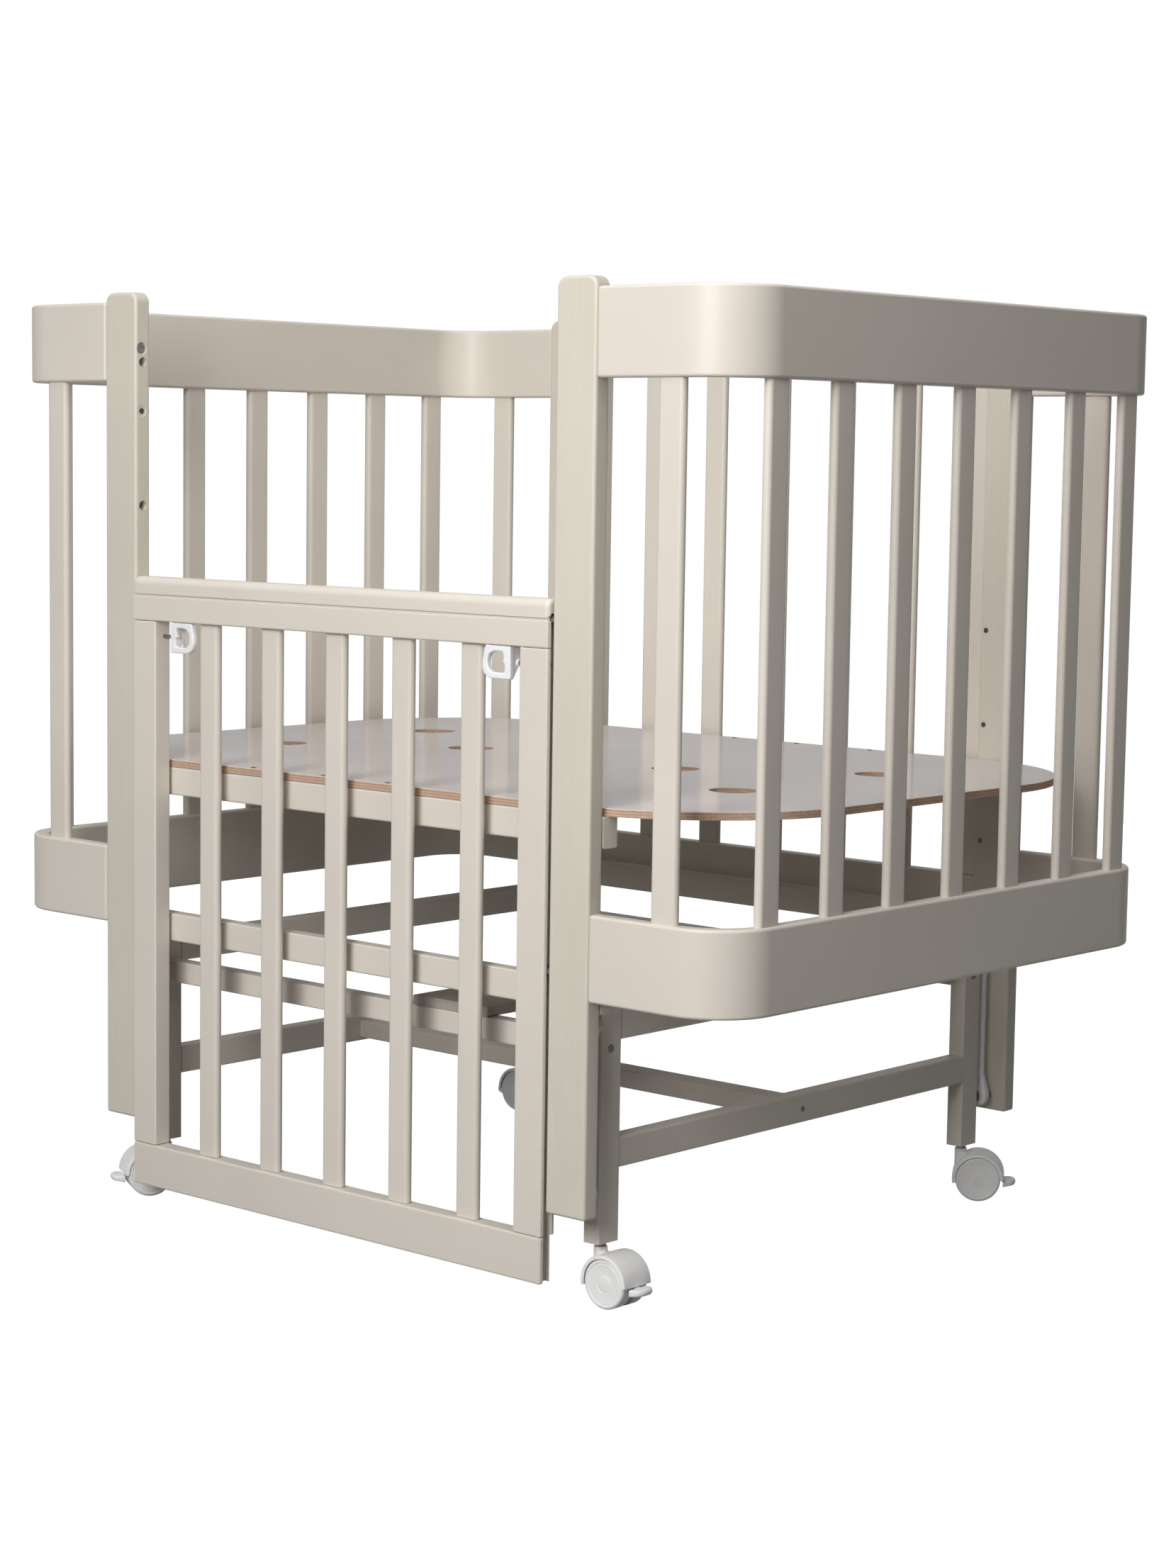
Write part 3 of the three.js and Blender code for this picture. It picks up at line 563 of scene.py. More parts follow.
def bent_rail(sx, low, high):
    """A U seen from above, from the front post round to the back one."""
    centre_x = max(abs(low.x), abs(high.x)) - RAIL_THICKNESS / 2
    centre_y = high.y - RAIL_THICKNESS / 2
    bend_x = centre_x - RAIL_BEND_RADIUS
    bend_y = centre_y - RAIL_BEND_RADIUS
    stations = [(RAIL_START_X + along, -centre_y, -90, inset) for inset, along in rounded_end(RAIL_EDGE)]
    for y, start in ((-bend_y, -90), (bend_y, 0)):
        for i in range(BEND_STEPS + 1):
            angle = start + 90 * i / BEND_STEPS
            turn = math.radians(angle)
            x = bend_x + RAIL_BEND_RADIUS * math.cos(turn)
            stations.append((x, y + RAIL_BEND_RADIUS * math.sin(turn), angle, 0))
    stations += [(x, -y, 90, inset) for x, y, angle, inset in reversed(stations[:EDGE_STEPS + 1])]
    rings = []
    for x, y, angle, inset in stations:
        out = Vector((math.cos(math.radians(angle)), math.sin(math.radians(angle)), 0))
        middle = Vector((x, y, (low.z + high.z) / 2))
        edge = RAIL_EDGE - inset + 0.05
        section = rounded_rectangle(RAIL_THICKNESS - 2 * inset, high.z - low.z - 2 * inset, (edge,) * 4)
        rings.append([mirror(middle + out * a + Vector((0, 0, b)), sx, 1) for a, b in section])
    return Solid().loft(rings)


def make_end(side, sx):
    top_low, top_high = box_mm(f"end_top_rail_{side}")
    low, high = box_mm(f"end_slatted_rail_{side}")
    high.z = low.z + top_high.z - top_low.z
    top = build(f"end_{side}_top", bent_rail(sx, top_low, top_high))
    finish(top, PAINT["y"], "cot", "paint", f"end_top_rail_{side}")
    lower = build(f"end_{side}_bottom", bent_rail(sx, low, high))
    finish(lower, PAINT["y"], "cot", "paint", f"end_slatted_rail_{side}")
    foot = high.z - SLAT_SEAT
    head = top_low.z + SLAT_SEAT
    across = Vector((SLAT_HALF_THICKNESS, SLAT_HALF_WIDTH, 0))
    along = Vector((SLAT_HALF_WIDTH, SLAT_HALF_THICKNESS, 0))
    rail_x = sx * (max(abs(low.x), abs(high.x)) - RAIL_THICKNESS / 2)
    rail_y = high.y - RAIL_THICKNESS / 2
    pitch = 2 * (high.y - END_SLAT_INSET) / (END_SLATS - 1)
    slats = [(rail_x, (i - (END_SLATS - 1) / 2) * pitch, across) for i in range(END_SLATS)]
    slats += [(sx * SIDE_SLAT_X, sy * rail_y, along) for sy in (-1, 1)]
    for i, (x, y, half) in enumerate(slats):
        start = Vector((x, y, foot)) - half
        end = Vector((x, y, head)) + half
        slat = build(f"end_{side}_slat_{i + 1}", Solid().bar(start, end, Z, (SLAT_EDGE,) * 4))
        finish(slat, PAINT["z"], "cot", "paint")


for side, sx in SIDES:
    make_end(side, sx)


# Gate and back panel

BEAD_DROP = 20
BEAD_HALF = 1.2
BEAD_DEPTH = 1.7
BEAD_CORE = 8
NOSE_RADIUS = 8.5
NOSE_END = 4.5
NOSE_STEPS = 6
BAND_EDGE = 1
PANEL_EDGE = 2
JOINT_EDGE = 1.5
GROOVE_WIDTH = 12
GROOVE_DEPTH = 8
GROOVE_TOP = 671
GROOVE_EDGE = 0.3
PIN_RADIUS = 2
PIN_GAP = 0.4
PIN_BORE = 40
PANEL_SLATS = 5


def groove(sx, low_z, high_z):
    """The slot in a gate end that the posts' pins run in."""
    end_x = box_mm("gate_top_rail")[1].x
    near, far = sorted((sx * (end_x - GROOVE_DEPTH), sx * (end_x + OVERRUN)))
    low = Vector((near, -PIN_LINE_Y - GROOVE_WIDTH / 2, low_z))
    high = Vector((far, -PIN_LINE_Y + GROOVE_WIDTH / 2, high_z))
    return Solid().bar(low, high, Z, (GROOVE_EDGE,) * 4, GROOVE_EDGE)


def panel_top(node, body):
    """A round nose over a flat band, with a bead line between them."""
    low, high = box_mm(node)
    bead = high.z - BEAD_DROP
    nose_low = Vector((low.x, low.y, bead + BEAD_HALF))
    band_high = Vector((high.x, high.y, bead - BEAD_HALF))
    nose_radii = (BAND_EDGE, BAND_EDGE, NOSE_RADIUS, NOSE_RADIUS)
    band_radii = (PANEL_EDGE, PANEL_EDGE, BAND_EDGE, BAND_EDGE)
    rail = build(f"{node}_wood", Solid().bar(nose_low, high, X, nose_radii, NOSE_END, NOSE_STEPS))
    combine(rail, Solid().bar(low, band_high, X, band_radii, BAND_EDGE), "UNION")
    core_low = Vector((low.x + BEAD_DEPTH, low.y + BEAD_DEPTH, bead - BEAD_CORE))
    core_high = Vector((high.x - BEAD_DEPTH, high.y - BEAD_DEPTH, bead + BEAD_CORE))
    combine(rail, Solid().bar(core_low, core_high, X, (0.5,) * 4), "UNION")
    if body == "gate":
        for side, sx in SIDES:
            combine(rail, groove(sx, low.z - OVERRUN, GROOVE_TOP), "DIFFERENCE")
    finish(rail, PAINT["x"], body, "paint", node)


def make_stile(side, sx):
    node = f"gate_stile_{side}"
    low, high = box_mm(node)
    stile = build(f"{node}_wood", Solid().bar(low, high, Z, (PANEL_EDGE,) * 4, JOINT_EDGE))
    combine(stile, groove(sx, low.z - OVERRUN, high.z + OVERRUN), "DIFFERENCE")
    pin_low, pin_high = box_mm(f"latch_pin_{side}")
    inner = low.x if sx > 0 else high.x
    place = axis_frame((inner, -LATCH_LINE_Y, (pin_low.z + pin_high.z) / 2), (sx, 0, 0))
    bore = pin_profile(PIN_RADIUS + PIN_GAP, PIN_BORE, foot=-OVERRUN)
    combine(stile, Solid().lathe(bore, place), "DIFFERENCE")
    finish(stile, PAINT["z"], "gate", "paint", node)


panel_top("gate_top_rail", "gate")
panel_top("back_top_rail", "cot")
for side, sx in SIDES:
    make_stile(side, sx)

for i in range(PANEL_SLATS):
    node = f"gate_slat_{i + 1}"
    low, high = box_mm(node)
    slat = build(f"{node}_wood", Solid().bar(low, high, Z, (SLAT_EDGE,) * 4))
    finish(slat, PAINT["z"], "gate", "paint", node)

BACK_RAIL_HEIGHT = 42
BACK_STILE_WIDTH = 34
back_low, back_high = box_mm("back_slatted_rail")
rail_top = back_low.z + BACK_RAIL_HEIGHT
back_rail = build("back_bottom_rail", Solid().bar(
    back_low, Vector((back_high.x, back_high.y, rail_top)), X, (PANEL_EDGE,) * 4, 1,
))
finish(back_rail, PAINT["x"], "cot", "paint", "back_slatted_rail")
back_pitch = 2 * (back_high.x - BACK_STILE_WIDTH + SLAT_HALF_WIDTH) / (PANEL_SLATS + 1)
half = Vector((SLAT_HALF_WIDTH, SLAT_HALF_THICKNESS, 0))
for i in range(PANEL_SLATS):
    middle = Vector(((i - (PANEL_SLATS - 1) / 2) * back_pitch, (back_low.y + back_high.y) / 2, 0))
    start = middle - half + Vector((0, 0, rail_top - SLAT_SEAT))
    end = middle + half + Vector((0, 0, back_high.z))
    slat = build(f"back_slat_{i + 1}", Solid().bar(start, end, Z, (SLAT_EDGE,) * 4))
    finish(slat, PAINT["z"], "cot", "paint")


# Mattress board with its vents

BOARD_CORNER = 190
VENTS = [(sx * 330, sy * 121) for sx in (-1, 1) for sy in (-1, 1)] + [(-151, 0), (151, 0)]
VENT_RADIUS = 26
VENT_SIDES = 64
VENT_CUT = 20
BOARD_STEPS = 40


def make_board():
    low, high = box_mm("mattress_board")
    board = build("mattress_board_ply", Solid().bar(low, high, Z, (BOARD_CORNER,) * 4, 0.5, BOARD_STEPS))
    vents = Solid()
    for x, y in VENTS:
        place = Matrix.Translation((x, y, low.z - 5))
        profile = [(0, 0), (VENT_RADIUS, 0), (VENT_RADIUS, VENT_CUT), (0, VENT_CUT)]
        vents.lathe(profile, place, VENT_SIDES)
    combine(board, vents, "DIFFERENCE")
    finish(board, BOARD, "cot", "board_laminate", "mattress_board")


make_board()


# Finger latches: a ring, the block behind it and the steel pin

LATCH_EDGE = 1.3
REAR_EDGE = 0.6
RING_DEPTH = 6
BLOCK_DEPTH = 15.7
BLOCK_WIDTH = 7.8
BLOCK_INSET = 1.5
PULL_OUTLINE = (
    (18.5, -16, 2.2), (18.5, 16, 2.2), (-15.2, 16, 3), (-18.4, 0.2, 4), (-18.6, -5.5, 5),
    (-15.2, -13, 5), (-9, -16, 4.5),
)
FINGER_OUTLINE = (
    (10.8, -9.7, 3), (11, -0.6, 3), (7.8, 0.9, 1.4), (9.4, 2.6, 2), (9.3, 10.3, 3.5), (-4.5, 10.5, 6),
    (-11.3, 6, 5), (-11.6, -5.5, 5), (-6, -9.9, 6),
)
LATCH_STEPS = 160
OUTLINE_STEPS = 10
COLLAR_PROFILE = [(0, -4), (3.4, -4), (3.4, 0.9), (2.9, 1.4), (0, 1.4)]


def reach(outline, angle):
    """Distance from the origin to an outline, along a ray."""
    c, s = math.cos(angle), math.sin(angle)
    best = 0
    for (x1, y1), (x2, y2) in zip(outline, outline[1:] + outline[:1]):
        turn = c * (y2 - y1) - s * (x2 - x1)
        if abs(turn) < 1e-9:
            continue
        share = (s * x1 - c * y1) / turn
        distance = (x1 * (y2 - y1) - y1 * (x2 - x1)) / turn
        if -1e-6 <= share <= 1 + 1e-6:
            best = max(best, distance)
    return best


def make_latch(side, sx):
    node = f"latch_pull_{side}"
    low, high = box_mm(node)
    width, height = high.x - low.x, high.z - low.z
    middle = Vector(((low.x + high.x) / 2, low.y, (low.z + high.z) / 2))
    outer = rounded_polygon(PULL_OUTLINE, OUTLINE_STEPS)
    finger = rounded_polygon(FINGER_OUTLINE, OUTLINE_STEPS)
    e = LATCH_EDGE
    rings = []
    for i in range(LATCH_STEPS):
        angle = 2 * math.pi * i / LATCH_STEPS
        far, near = reach(outer, angle), reach(finger, angle)
        loop = [
            (far - e, 0), (far - 0.3 * e, 0.3 * e), (far, e),
            (far, RING_DEPTH - REAR_EDGE), (far - REAR_EDGE, RING_DEPTH),
            (near + REAR_EDGE, RING_DEPTH), (near, RING_DEPTH - REAR_EDGE),
            (near, e), (near + 0.3 * e, 0.3 * e), (near + e, 0),
        ]
        c, s = math.cos(angle), math.sin(angle)
        rings.append([middle + Vector((sx * r * c, depth, r * s)) for r, depth in loop])
    ring = Solid().loft(rings, closed=True)
    block = []
    foot = -height / 2 + BLOCK_INSET
    head = height / 2 - 0.5
    for x in (width / 2 - BLOCK_WIDTH, width / 2 - 0.4):
        wedge = (
            (BLOCK_INSET, foot), (RING_DEPTH, foot), (BLOCK_DEPTH, 0),
            (BLOCK_DEPTH, head), (BLOCK_INSET, head),
        )
        block.append([middle + Vector((sx * x, depth, z)) for depth, z in wedge])
    ring.loft(block)
    pin_low, pin_high = box_mm(f"latch_pin_{side}")
    pin_z = (pin_low.z + pin_high.z) / 2
    collar_place = axis_frame((sx * width / 2 + middle.x, -LATCH_LINE_Y, pin_z), (sx, 0, 0))
    ring.lathe(COLLAR_PROFILE, collar_place)
    pull = build(f"{node}_moulding", ring)
    melt(pull, 0.4, 2)
    finish(pull, WHITE_PLASTIC, f"latch_{side}", "white_plastic", node, sharp=60, weighted=False)
    length = pin_high.x - pin_low.x
    start = pin_low.x if sx > 0 else pin_high.x
    pin = Solid().lathe(
        pin_profile(PIN_RADIUS, length, edge=1, foot=0),
        axis_frame((start, -LATCH_LINE_Y, pin_z), (sx, 0, 0)),
    )
    finish(build(f"latch_pin_{side}_rod", pin), STEEL, f"latch_{side}", "steel", f"latch_pin_{side}")


for side, sx in SIDES:
    make_latch(side, sx)


# Swing links: a moulded rod that swells into a boss at each pivot

LINK_BOSS = 11
LINK_ROD = 4.4
LINK_HALF = 5
LINK_SWELL = 30
LINK_CAP_STEPS = 8
LINK_SWELL_STEPS = 12
BOSS_POWER = 5
ROD_POWER = 2.2
LINK_SCREW = (5.5, 2.4)


def smooth_step(t):
    t = min(max(t, 0), 1)
    return t * t * (3 - 2 * t)


def link_ring(along, width, half, power, place):
    """A superellipse across the link: the power squares it off."""
    ring = []
    for i in range(ROUND_SIDES):
        angle = 2 * math.pi * i / ROUND_SIDES
        c, s = math.cos(angle), math.sin(angle)
        x = width * math.copysign(abs(c) ** (2 / power), c)
        y = half * math.copysign(abs(s) ** (2 / power), s)
        ring.append(place @ Vector((x, y, along)))
    return ring


def make_link(corner, sx, sy):
    node = f"link_{corner}"
    span = UPPER_PIVOT_Z - LOWER_PIVOT_Z
    link_y = sy * sum(LINK_FACES) / 2
    place = Matrix.Translation((sx * PIVOT_X, link_y, LOWER_PIVOT_Z))
    rows = []
    for i in range(LINK_CAP_STEPS + 1):
        angle = math.pi / 2 * i / LINK_CAP_STEPS
        swell = math.sin(angle)
        half = LINK_HALF * (0.8 + 0.2 * swell)
        rows.append((-LINK_BOSS * math.cos(angle), LINK_BOSS * swell, half, BOSS_POWER))
    for i in range(1, LINK_SWELL_STEPS + 1):
        share = smooth_step(i / LINK_SWELL_STEPS)
        width = LINK_BOSS + (LINK_ROD - LINK_BOSS) * share
        half = LINK_HALF + (LINK_ROD - LINK_HALF) * share
        power = BOSS_POWER + (ROD_POWER - BOSS_POWER) * share
        rows.append((LINK_SWELL * i / LINK_SWELL_STEPS, width, half, power))
    rings = [link_ring(*row, place) for row in rows]
    rings += [link_ring(span - along, *rest, place) for along, *rest in reversed(rows)]
    rod = build(f"{node}_rod", Solid().loft(rings))
    finish(rod, WHITE_PLASTIC, node, "white_plastic", node, sharp=60, weighted=False)
    heads = Solid()
    for height, face in ((UPPER_PIVOT_Z, 1), (LOWER_PIVOT_Z, -1)):
        outer = sy * LINK_FACES[1 if face > 0 else 0]
        screw_head(heads, (sx * PIVOT_X, outer, height), (0, sy * face, 0), *LINK_SCREW)
    finish(build(f"{node}_screws", heads), STEEL, node, "steel")


# Screws and bolts

SCREW_SIDES = 24
SMALL_SCREW = (3, 0.6)
BOLT_HEAD = (5.4, 1.2)
NUT = (3.2, 0.4)
BOARD_HEIGHT_SCREWS = (633, 528, 398)
BOARD_HEIGHT_X = 309.5
CROSS_RAIL_SCREW = (343.2, 464)
BOARD_SCREWS_X = (-146, -39, 54, 160)
BOARD_SCREWS_YZ = (335, 489)
LEG_OUTER_X = 331.8
LEG_SCREW_YZ = (305, 252)
STRETCHER_SCREW_YZ = (0, 147.5)


def screw_head(solid, place, direction, radius, rise):
    """A low domed head with a six-sided socket."""
    socket = 0.48 * radius
    profile = [
        (0, -1), (radius * 0.96, -1), (radius, 0), (radius, rise * 0.35), (radius * 0.93, rise * 0.75),
        (radius * 0.7, rise), (socket, rise), (socket * 0.96, rise * 0.1), (0, rise * 0.1),
    ]
    stand = axis_frame(place, direction)
    rings = []
    for index, (r, height) in enumerate(profile):
        ring = []
        for i in range(SCREW_SIDES):
            angle = 2 * math.pi * i / SCREW_SIDES
            flat = 1
            if index in (6, 7):
                flat = math.cos(math.pi / 6) / math.cos((angle % (math.pi / 3)) - math.pi / 6)
            ring.append(stand @ Vector((r * flat * math.cos(angle), r * flat * math.sin(angle), height)))
        rings.append(ring)
    return solid.loft(rings)


for corner, sx, sy in CORNERS:
    make_link(corner, sx, sy)

cot_screws = Solid()
bolts = Solid()
for side, sx in SIDES:
    screw_head(bolts, (sx * (POST_INNER_X + 2), -BOLT_Y, BOLT_Z), (-sx, 0, 0), *BOLT_HEAD)
    screw_head(cot_screws, (sx * (POST_INNER_X + 0.5), -BOLT_Y, NUT_Z), (-sx, 0, 0), *NUT)
    for sy in (-1, 1):
        for height in BOARD_HEIGHT_SCREWS:
            place = (sx * BOARD_HEIGHT_X, sy * POST_INNER_Y, height)
            screw_head(cot_screws, place, (0, -sy, 0), *SMALL_SCREW)
for sy in (-1, 1):
    y, z = CROSS_RAIL_SCREW
    screw_head(cot_screws, (0, sy * y, z), (0, sy, 0), 3.1, 0.8)
    y, z = BOARD_SCREWS_YZ
    for x in BOARD_SCREWS_X:
        screw_head(cot_screws, (x, sy * y, z), (0, 0, 1), 3, 0.5)
finish(build("cot_screws", cot_screws), SCREW_STEEL_AND_PAINTED_SHADE, "cot", "steel")
finish(build("post_bolts", bolts), BOLT_STEEL, "cot", "steel")

stand_screws = Solid()
for corner, sx, sy in CORNERS:
    y, z = LEG_SCREW_YZ
    screw_head(stand_screws, (sx * LEG_OUTER_X, sy * y, z), (sx, 0, 0), 4.4, 0.5)
for side, sx in SIDES:
    y, z = STRETCHER_SCREW_YZ
    screw_head(stand_screws, (sx * LEG_OUTER_X, y, z), (sx, 0, 0), *SMALL_SCREW)
finish(build("stand_screws", stand_screws), SCREW_STEEL_AND_PAINTED_SHADE, "stand", "steel")


# Casters, drawn along +X with the stem at the origin

CASTER_HEADINGS = {"front_left": 242, "front_right": 0, "back_left": 179, "back_right": 33}
CASTER_X = 321.8
CASTER_Y = 304.3
TRAIL = 20
WHEEL_RADIUS = 25
HOOD_START = 188
HOOD_END = 2
HOOD_MIDDLE = 27.3
HOOD_STEPS = 48
WHEEL_SIDES = 72
COLLAR_TOP = 57
COLLAR_RADIUS = 6.75
LEG_BOTTOM = 61
PEDAL_PIVOT = (TRAIL + 17.5, WHEEL_RADIUS + 4)
PEDAL_POCKET = 3.8
PEDAL_BOSS = (3.5, 3.1)
PADDLE_START = TRAIL + 27.6
PADDLE_MIDDLE_Z = 20
PADDLE_HALF_WIDTH = 13
PADDLE_STEPS = 24
PADDLE_SECTION = ((0, 16, 0.8), (0, 23.6, 1.6), (13.9, 24.2, 3.4), (13.9, 18.2, 3.4))
HUB_RADIUS = 6
WEB_RADIUS = 27.2
WEB_HALF = 3.2
WEB_CUT = 9
ALONG_Y = Matrix.Rotation(-math.pi / 2, 4, "X")
AXLE = Matrix.Translation((TRAIL, 0, WHEEL_RADIUS))


def wheel_solid():
    """Two dished discs on one hub."""
    half = [
        (0, 18.2), (5, 18.05), (8.4, 17.6), (8.7, 17.1), (9.2, 17.1), (9.5, 17.6), (15, 17.5), (19.4, 18.1),
        (19.9, 17.6), (20.5, 17.6), (21, 18.35),
    ]
    half += arc(22, 15.5, 3, 90, 0, 6) + [(WHEEL_RADIUS, 5)] + arc(23.8, 4.8, 1.2, 0, -90, 3)
    half.append((HUB_RADIUS, 3.6))
    profile = half + [(r, -y) for r, y in reversed(half)]
    return Solid().lathe(profile, AXLE @ ALONG_Y, WHEEL_SIDES)


def hood_solid():
    """A band over both wheels with a lip down each side."""
    lip = [(19.9, 24.9), (19.5, 24.5), (18.9, 24.6), (18.8, 26)]
    top = [(18.6, 28.5), (19.5, 28.1), (19.9, 27.2)]
    section = [(-19.9, 27.2), (-19.5, 28.1), (-18.6, 28.5)]
    section += [(-12, 28.7), (0, 28.8), (12, 28.7)] + top + lip
    section += [(-y, r) for y, r in reversed(lip)]
    angles = [HOOD_START + (HOOD_END - HOOD_START) * i / HOOD_STEPS for i in range(HOOD_STEPS + 1)]
    stations = [(angles[0] + 2.4, 0.35), (angles[0] + 1.8, 0.8)] + [(a, 1) for a in angles]
    stations += [(angles[-1] - 1.8, 0.8), (angles[-1] - 2.4, 0.35)]
    rings = []
    for angle, share in stations:
        turn = math.radians(angle)
        ring = []
        for y, radius in section:
            r = HOOD_MIDDLE + (radius - HOOD_MIDDLE) * share
            x, z = TRAIL + r * math.cos(turn), WHEEL_RADIUS + r * math.sin(turn)
            ring.append(Vector((x, y * (0.97 + 0.03 * share), z)))
        rings.append(ring)
    return Solid().loft(rings)


def web_piece():
    """The plate between the wheels, with the axle's bore and the pedal's mouth."""
    axle = (TRAIL, WHEEL_RADIUS)
    outline = arc(*axle, WEB_RADIUS, HOOD_END + 4, HOOD_START - 4, 24) + arc(*axle, 10, 215, 325, 8)
    web = build("web", Solid().plate(outline, -WEB_HALF, WEB_HALF))
    bore = HUB_RADIUS + RUNNING_GAP
    profile = [(0, -WEB_CUT), (bore, -WEB_CUT), (bore, WEB_CUT), (0, WEB_CUT)]
    combine(web, Solid().lathe(profile, AXLE @ ALONG_Y), "DIFFERENCE")
    mouth = arc(*PEDAL_PIVOT, PEDAL_POCKET, 20, 250, 10) + arc(*PEDAL_PIVOT, 30, 255, 370, 4)
    combine(web, Solid().plate(mouth, -WEB_CUT, WEB_CUT), "DIFFERENCE")
    return web


def collar_solid():
    """The stem's collar: an upright barrel that runs into the hood, with a fillet on the hood's side."""
    def hood_height(x, radius):
        return WHEEL_RADIUS + math.sqrt(max(radius ** 2 - (x - TRAIL) ** 2, 0))

    rings = []
    rows = (
        (1.45, 26.8, 0, 0), (1.45, 28.5, 0.2, 0), (1.2, 28.5, 1.2, 0), (1.08, 28.5, 2.6, 0),
        (1, 28.5, 4.4, 0), (1, 0, 0, 55.4), (0.97, 0, 0, 56.3), (0.9, 0, 0, 56.8), (0.8, 0, 0, COLLAR_TOP),
        (0.6, 0, 0, COLLAR_TOP), (0.6, 0, 0, 54),
    )
    for spread, over, lift, level in rows:
        ring = []
        for c, s in arc(0, 0, 1, 0, 360, ROUND_SIDES)[:ROUND_SIDES]:
            radius = COLLAR_RADIUS * (1 + (spread - 1) * (max(c, 0) ** 2 if spread > 1 else 1))
            x, y = radius * c, radius * s
            ring.append(Vector((x, y, level or min(hood_height(x, over) + lift, 55))))
        rings.append(ring)
    return Solid().loft(rings)


def stem_solid():
    """The steel stem, its neck and the flange under the leg."""
    profile = [
        (0, 54.5), (3.75, 54.5), (3.75, 56.6), (5.1, 56.6), (5.3, 56.9), (5.3, 59.7), (7, 60), (7.2, 60.2),
        (7.2, 60.8), (7, LEG_BOTTOM), (3.75, LEG_BOTTOM), (3.75, LEG_BOTTOM + 16), (0, LEG_BOTTOM + 16),
    ]
    return Solid().lathe(profile)


def pedal_solid():
    """The brake's D-shaped paddle, its arm and its pivot boss."""
    x, z = PEDAL_PIVOT
    radius, half = PEDAL_BOSS
    place = Matrix.Translation((x, 0, z)) @ ALONG_Y
    solid = Solid().lathe([(0, -half), (radius, -half), (radius, half), (0, half)], place)
    arm = ((x - 2, z - 2), (TRAIL + 31, 18), (TRAIL + 31, 22), (x + 2, z + 1))
    solid.plate(arm, -half, half)
    section = rounded_polygon(PADDLE_SECTION, 8)
    rings = []
    for i in range(PADDLE_STEPS + 1):
        across = math.sin(math.radians(-88 + 176 * i / PADDLE_STEPS))
        share = (1 - abs(across) ** 2.6) ** (1 / 2.6)
        thinned = 0.5 + 0.5 * min(share * 1.6, 1)
        rings.append([
            Vector((
                PADDLE_START + x * share, PADDLE_HALF_WIDTH * across,
                PADDLE_MIDDLE_Z + (z - PADDLE_MIDDLE_Z) * thinned,
            )) for x, z in section
        ])
    return solid.loft(rings)


def make_casters():
    housing = build("housing", hood_solid())
    collar = build("collar", collar_solid())
    stem = build("stem", stem_solid())
    wheels = build("wheels", wheel_solid())
    pedal = build("pedal", pedal_solid())
    melt(pedal, 0.5, 2)
    web = web_piece()
    for corner, sx, sy in CORNERS:
        turn = Matrix.Rotation(math.radians(CASTER_HEADINGS[corner]), 4, "Z")
        place = Matrix.Translation((sx * CASTER_X * MM, sy * CASTER_Y * MM, 0)) @ turn
        fork = f"caster_fork_{corner}"
        rolling = f"caster_wheels_{corner}"
        brake = f"caster_pedal_{corner}"
        for part, label, material, body, slot, nodes in (
            (housing, "hood", CASTER_PLASTIC, fork, "caster_plastic", [f"caster_housing_{corner}"]),
            (collar, "collar", CASTER_PLASTIC, fork, "caster_plastic", []),
            (web, "web", CASTER_PLASTIC, fork, "caster_plastic", []),
            (stem, "stem", SCREW_STEEL_AND_PAINTED_SHADE, fork, "steel", []),
            (wheels, "wheels", CASTER_PLASTIC, rolling, "caster_plastic", [rolling]),
            (pedal, "pedal", CASTER_PLASTIC, brake, "caster_plastic", [brake]),
        ):
            copy = bpy.data.objects.new(f"caster_{corner}_{label}", part.data.copy())
            bpy.context.scene.collection.objects.link(copy)
            copy.data.transform(place)
            finish(copy, material, body, slot, *nodes, sharp=40, weighted=label != "pedal")
    for part in (housing, collar, stem, wheels, pedal, web):
        bpy.data.objects.remove(part)


make_casters()


# Studio

MIRRORED = 0.38
FLOOR_WHITE = 0.95
FLOOR_FADE = (0.9, 2.4)


def seen_strength(add, link, white):
    """White to the camera and through glass, and the dimmer studio backdrop in reflections."""
    path = add("ShaderNodeLightPath")
    straight = add("ShaderNodeMath")
    straight.operation = "MAXIMUM"
    link(path.outputs["Is Camera Ray"], straight.inputs[0])
    link(path.outputs["Is Transmission Ray"], straight.inputs[1])
    bright = add("ShaderNodeMath")
    bright.operation = "MULTIPLY"
    link(straight.outputs["Value"], bright.inputs[0])
    if isinstance(white, bpy.types.NodeSocket):
        link(white, bright.inputs[1])
    else:
        bright.inputs[1].default_value = white
    mirrored = add("ShaderNodeMath")
    mirrored.operation = "MULTIPLY"
    link(path.outputs["Is Glossy Ray"], mirrored.inputs[0])
    mirrored.inputs[1].default_value = MIRRORED
    strength = add("ShaderNodeMath")
    strength.operation = "MAXIMUM"
    link(bright.outputs["Value"], strength.inputs[0])
    link(mirrored.outputs["Value"], strength.inputs[1])
    return strength.outputs["Value"]


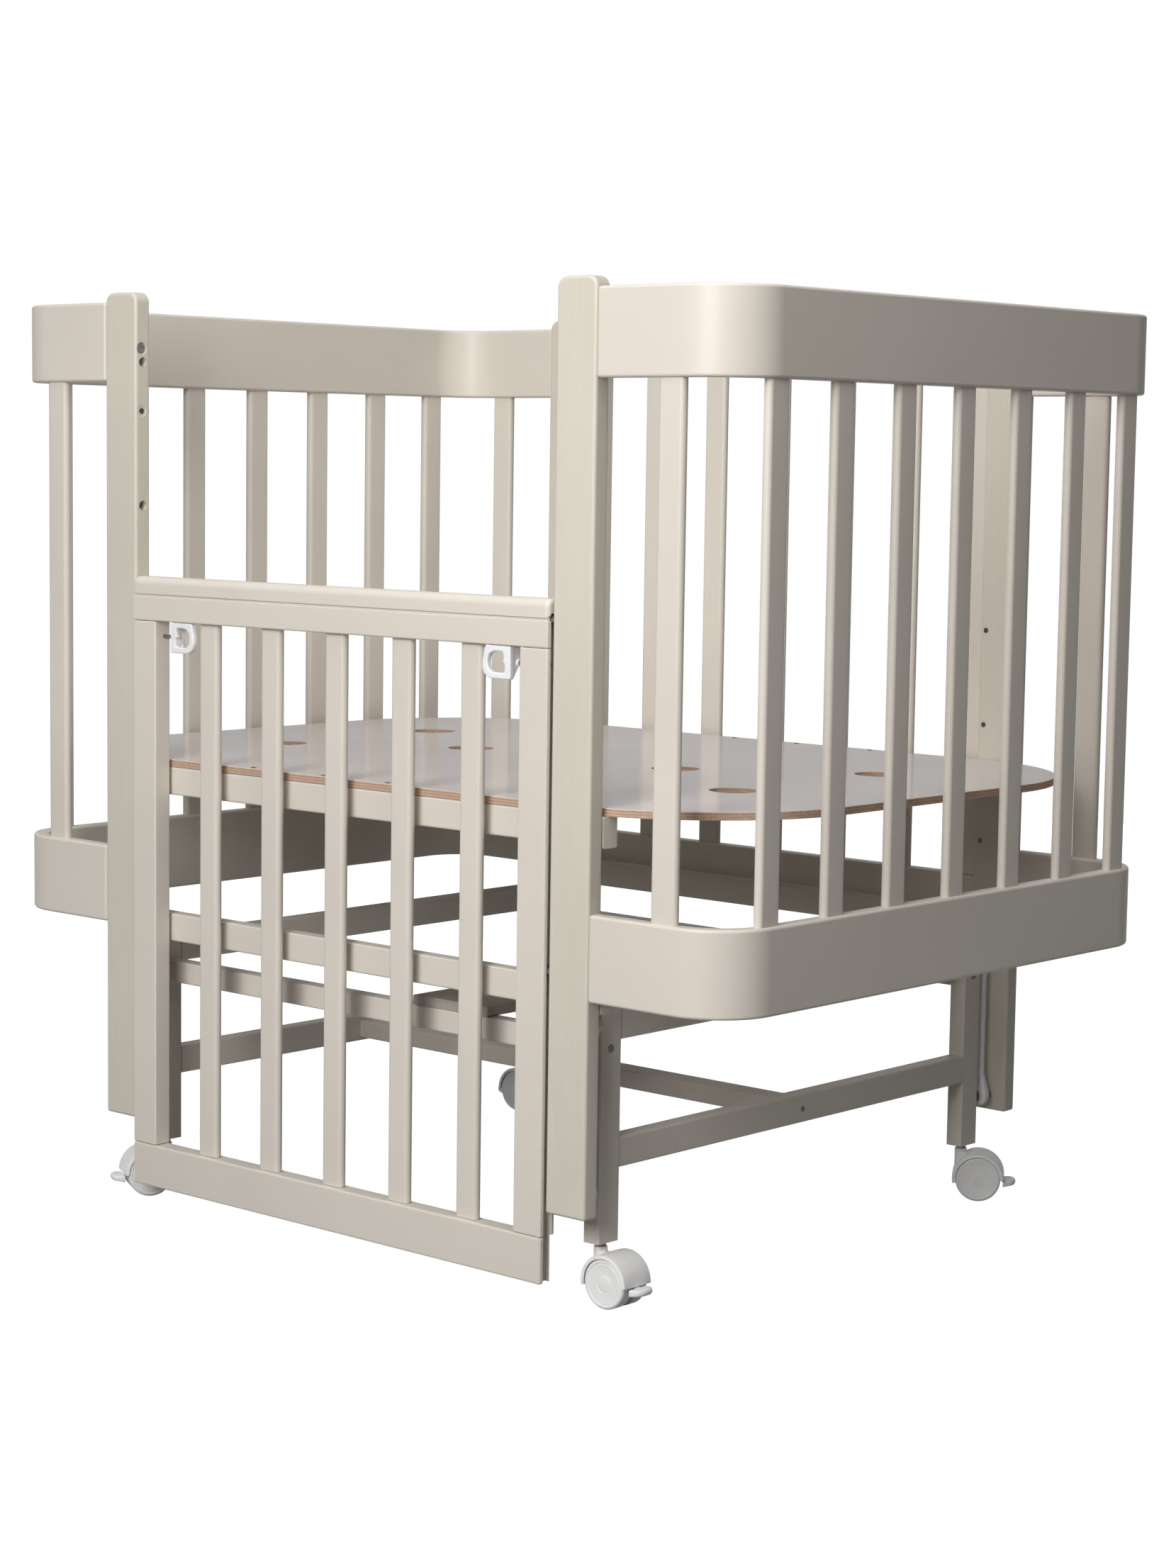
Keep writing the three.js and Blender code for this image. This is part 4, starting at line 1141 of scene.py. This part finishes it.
def make_floor():
    bpy.ops.mesh.primitive_plane_add(size=40)
    floor = bpy.context.active_object
    floor.name = "floor"
    n = Nodes("floor")
    plain = n.noise(n.place(), 0.4, 1)
    n.link(n.ramp(plain, ((0.3, srgb(134, 134, 134)), (0.7, srgb(138, 138, 138)))), "Base Color")
    n.set(Roughness=1, Specular_IOR_Level=0, Emission_Color=(1, 1, 1, 1))
    distance = n.add("ShaderNodeVectorMath", {0: n.place()}, operation="LENGTH").outputs["Value"]
    near, far = FLOOR_FADE
    inputs = {"Value": distance, "From Min": near, "From Max": far, "To Min": FLOOR_WHITE, "To Max": 1}
    white = n.add("ShaderNodeMapRange", inputs).outputs["Result"]
    n.link(seen_strength(n.tree.nodes.new, n.tree.links.new, white), "Emission Strength")
    floor.data.materials.append(n.material)


def make_world():
    world = bpy.data.worlds.new("studio")
    bpy.context.scene.world = world
    world.use_nodes = True
    tree = world.node_tree
    background = tree.nodes["Background"]
    background.inputs["Color"].default_value = (1, 1, 1, 1)
    tree.links.new(seen_strength(tree.nodes.new, tree.links.new, 1), background.inputs["Strength"])


def softbox(name, place, target, size, watts):
    data = bpy.data.lights.new(name, "AREA")
    data.shape = "RECTANGLE"
    data.size = data.size_y = size
    data.energy = watts
    lamp = bpy.data.objects.new(name, data)
    bpy.context.scene.collection.objects.link(lamp)
    lamp.location = place
    lamp.rotation_euler = (Vector(target) - Vector(place)).to_track_quat("-Z", "Y").to_euler()
    return lamp


make_floor()
make_world()
CENTRE = (0, 0, 0.55)
softbox("front", (0.9, -2.6, 1.5), CENTRE, 1.2, 48)
softbox("front_high", (0.5, -3.5, 3.2), CENTRE, 1.8, 40)
softbox("boom", (1.2, -1.0, 2.4), (-0.3, 0.2, 0.7), 1.2, 12)
softbox("overhead", (0, 0, 3.0), CENTRE, 2, 22)
softbox("right", (3.5, 0, 2.6), CENTRE, 2, 7)
for name, place, watts in (("rear", (-0.7, 3.6, 1.0), 38), ("left", (-3.6, -0.2, 1.0), 26)):
    softbox(name, place, CENTRE, 2, watts).visible_glossy = False

bpy.context.scene.view_settings.view_transform = "Standard"
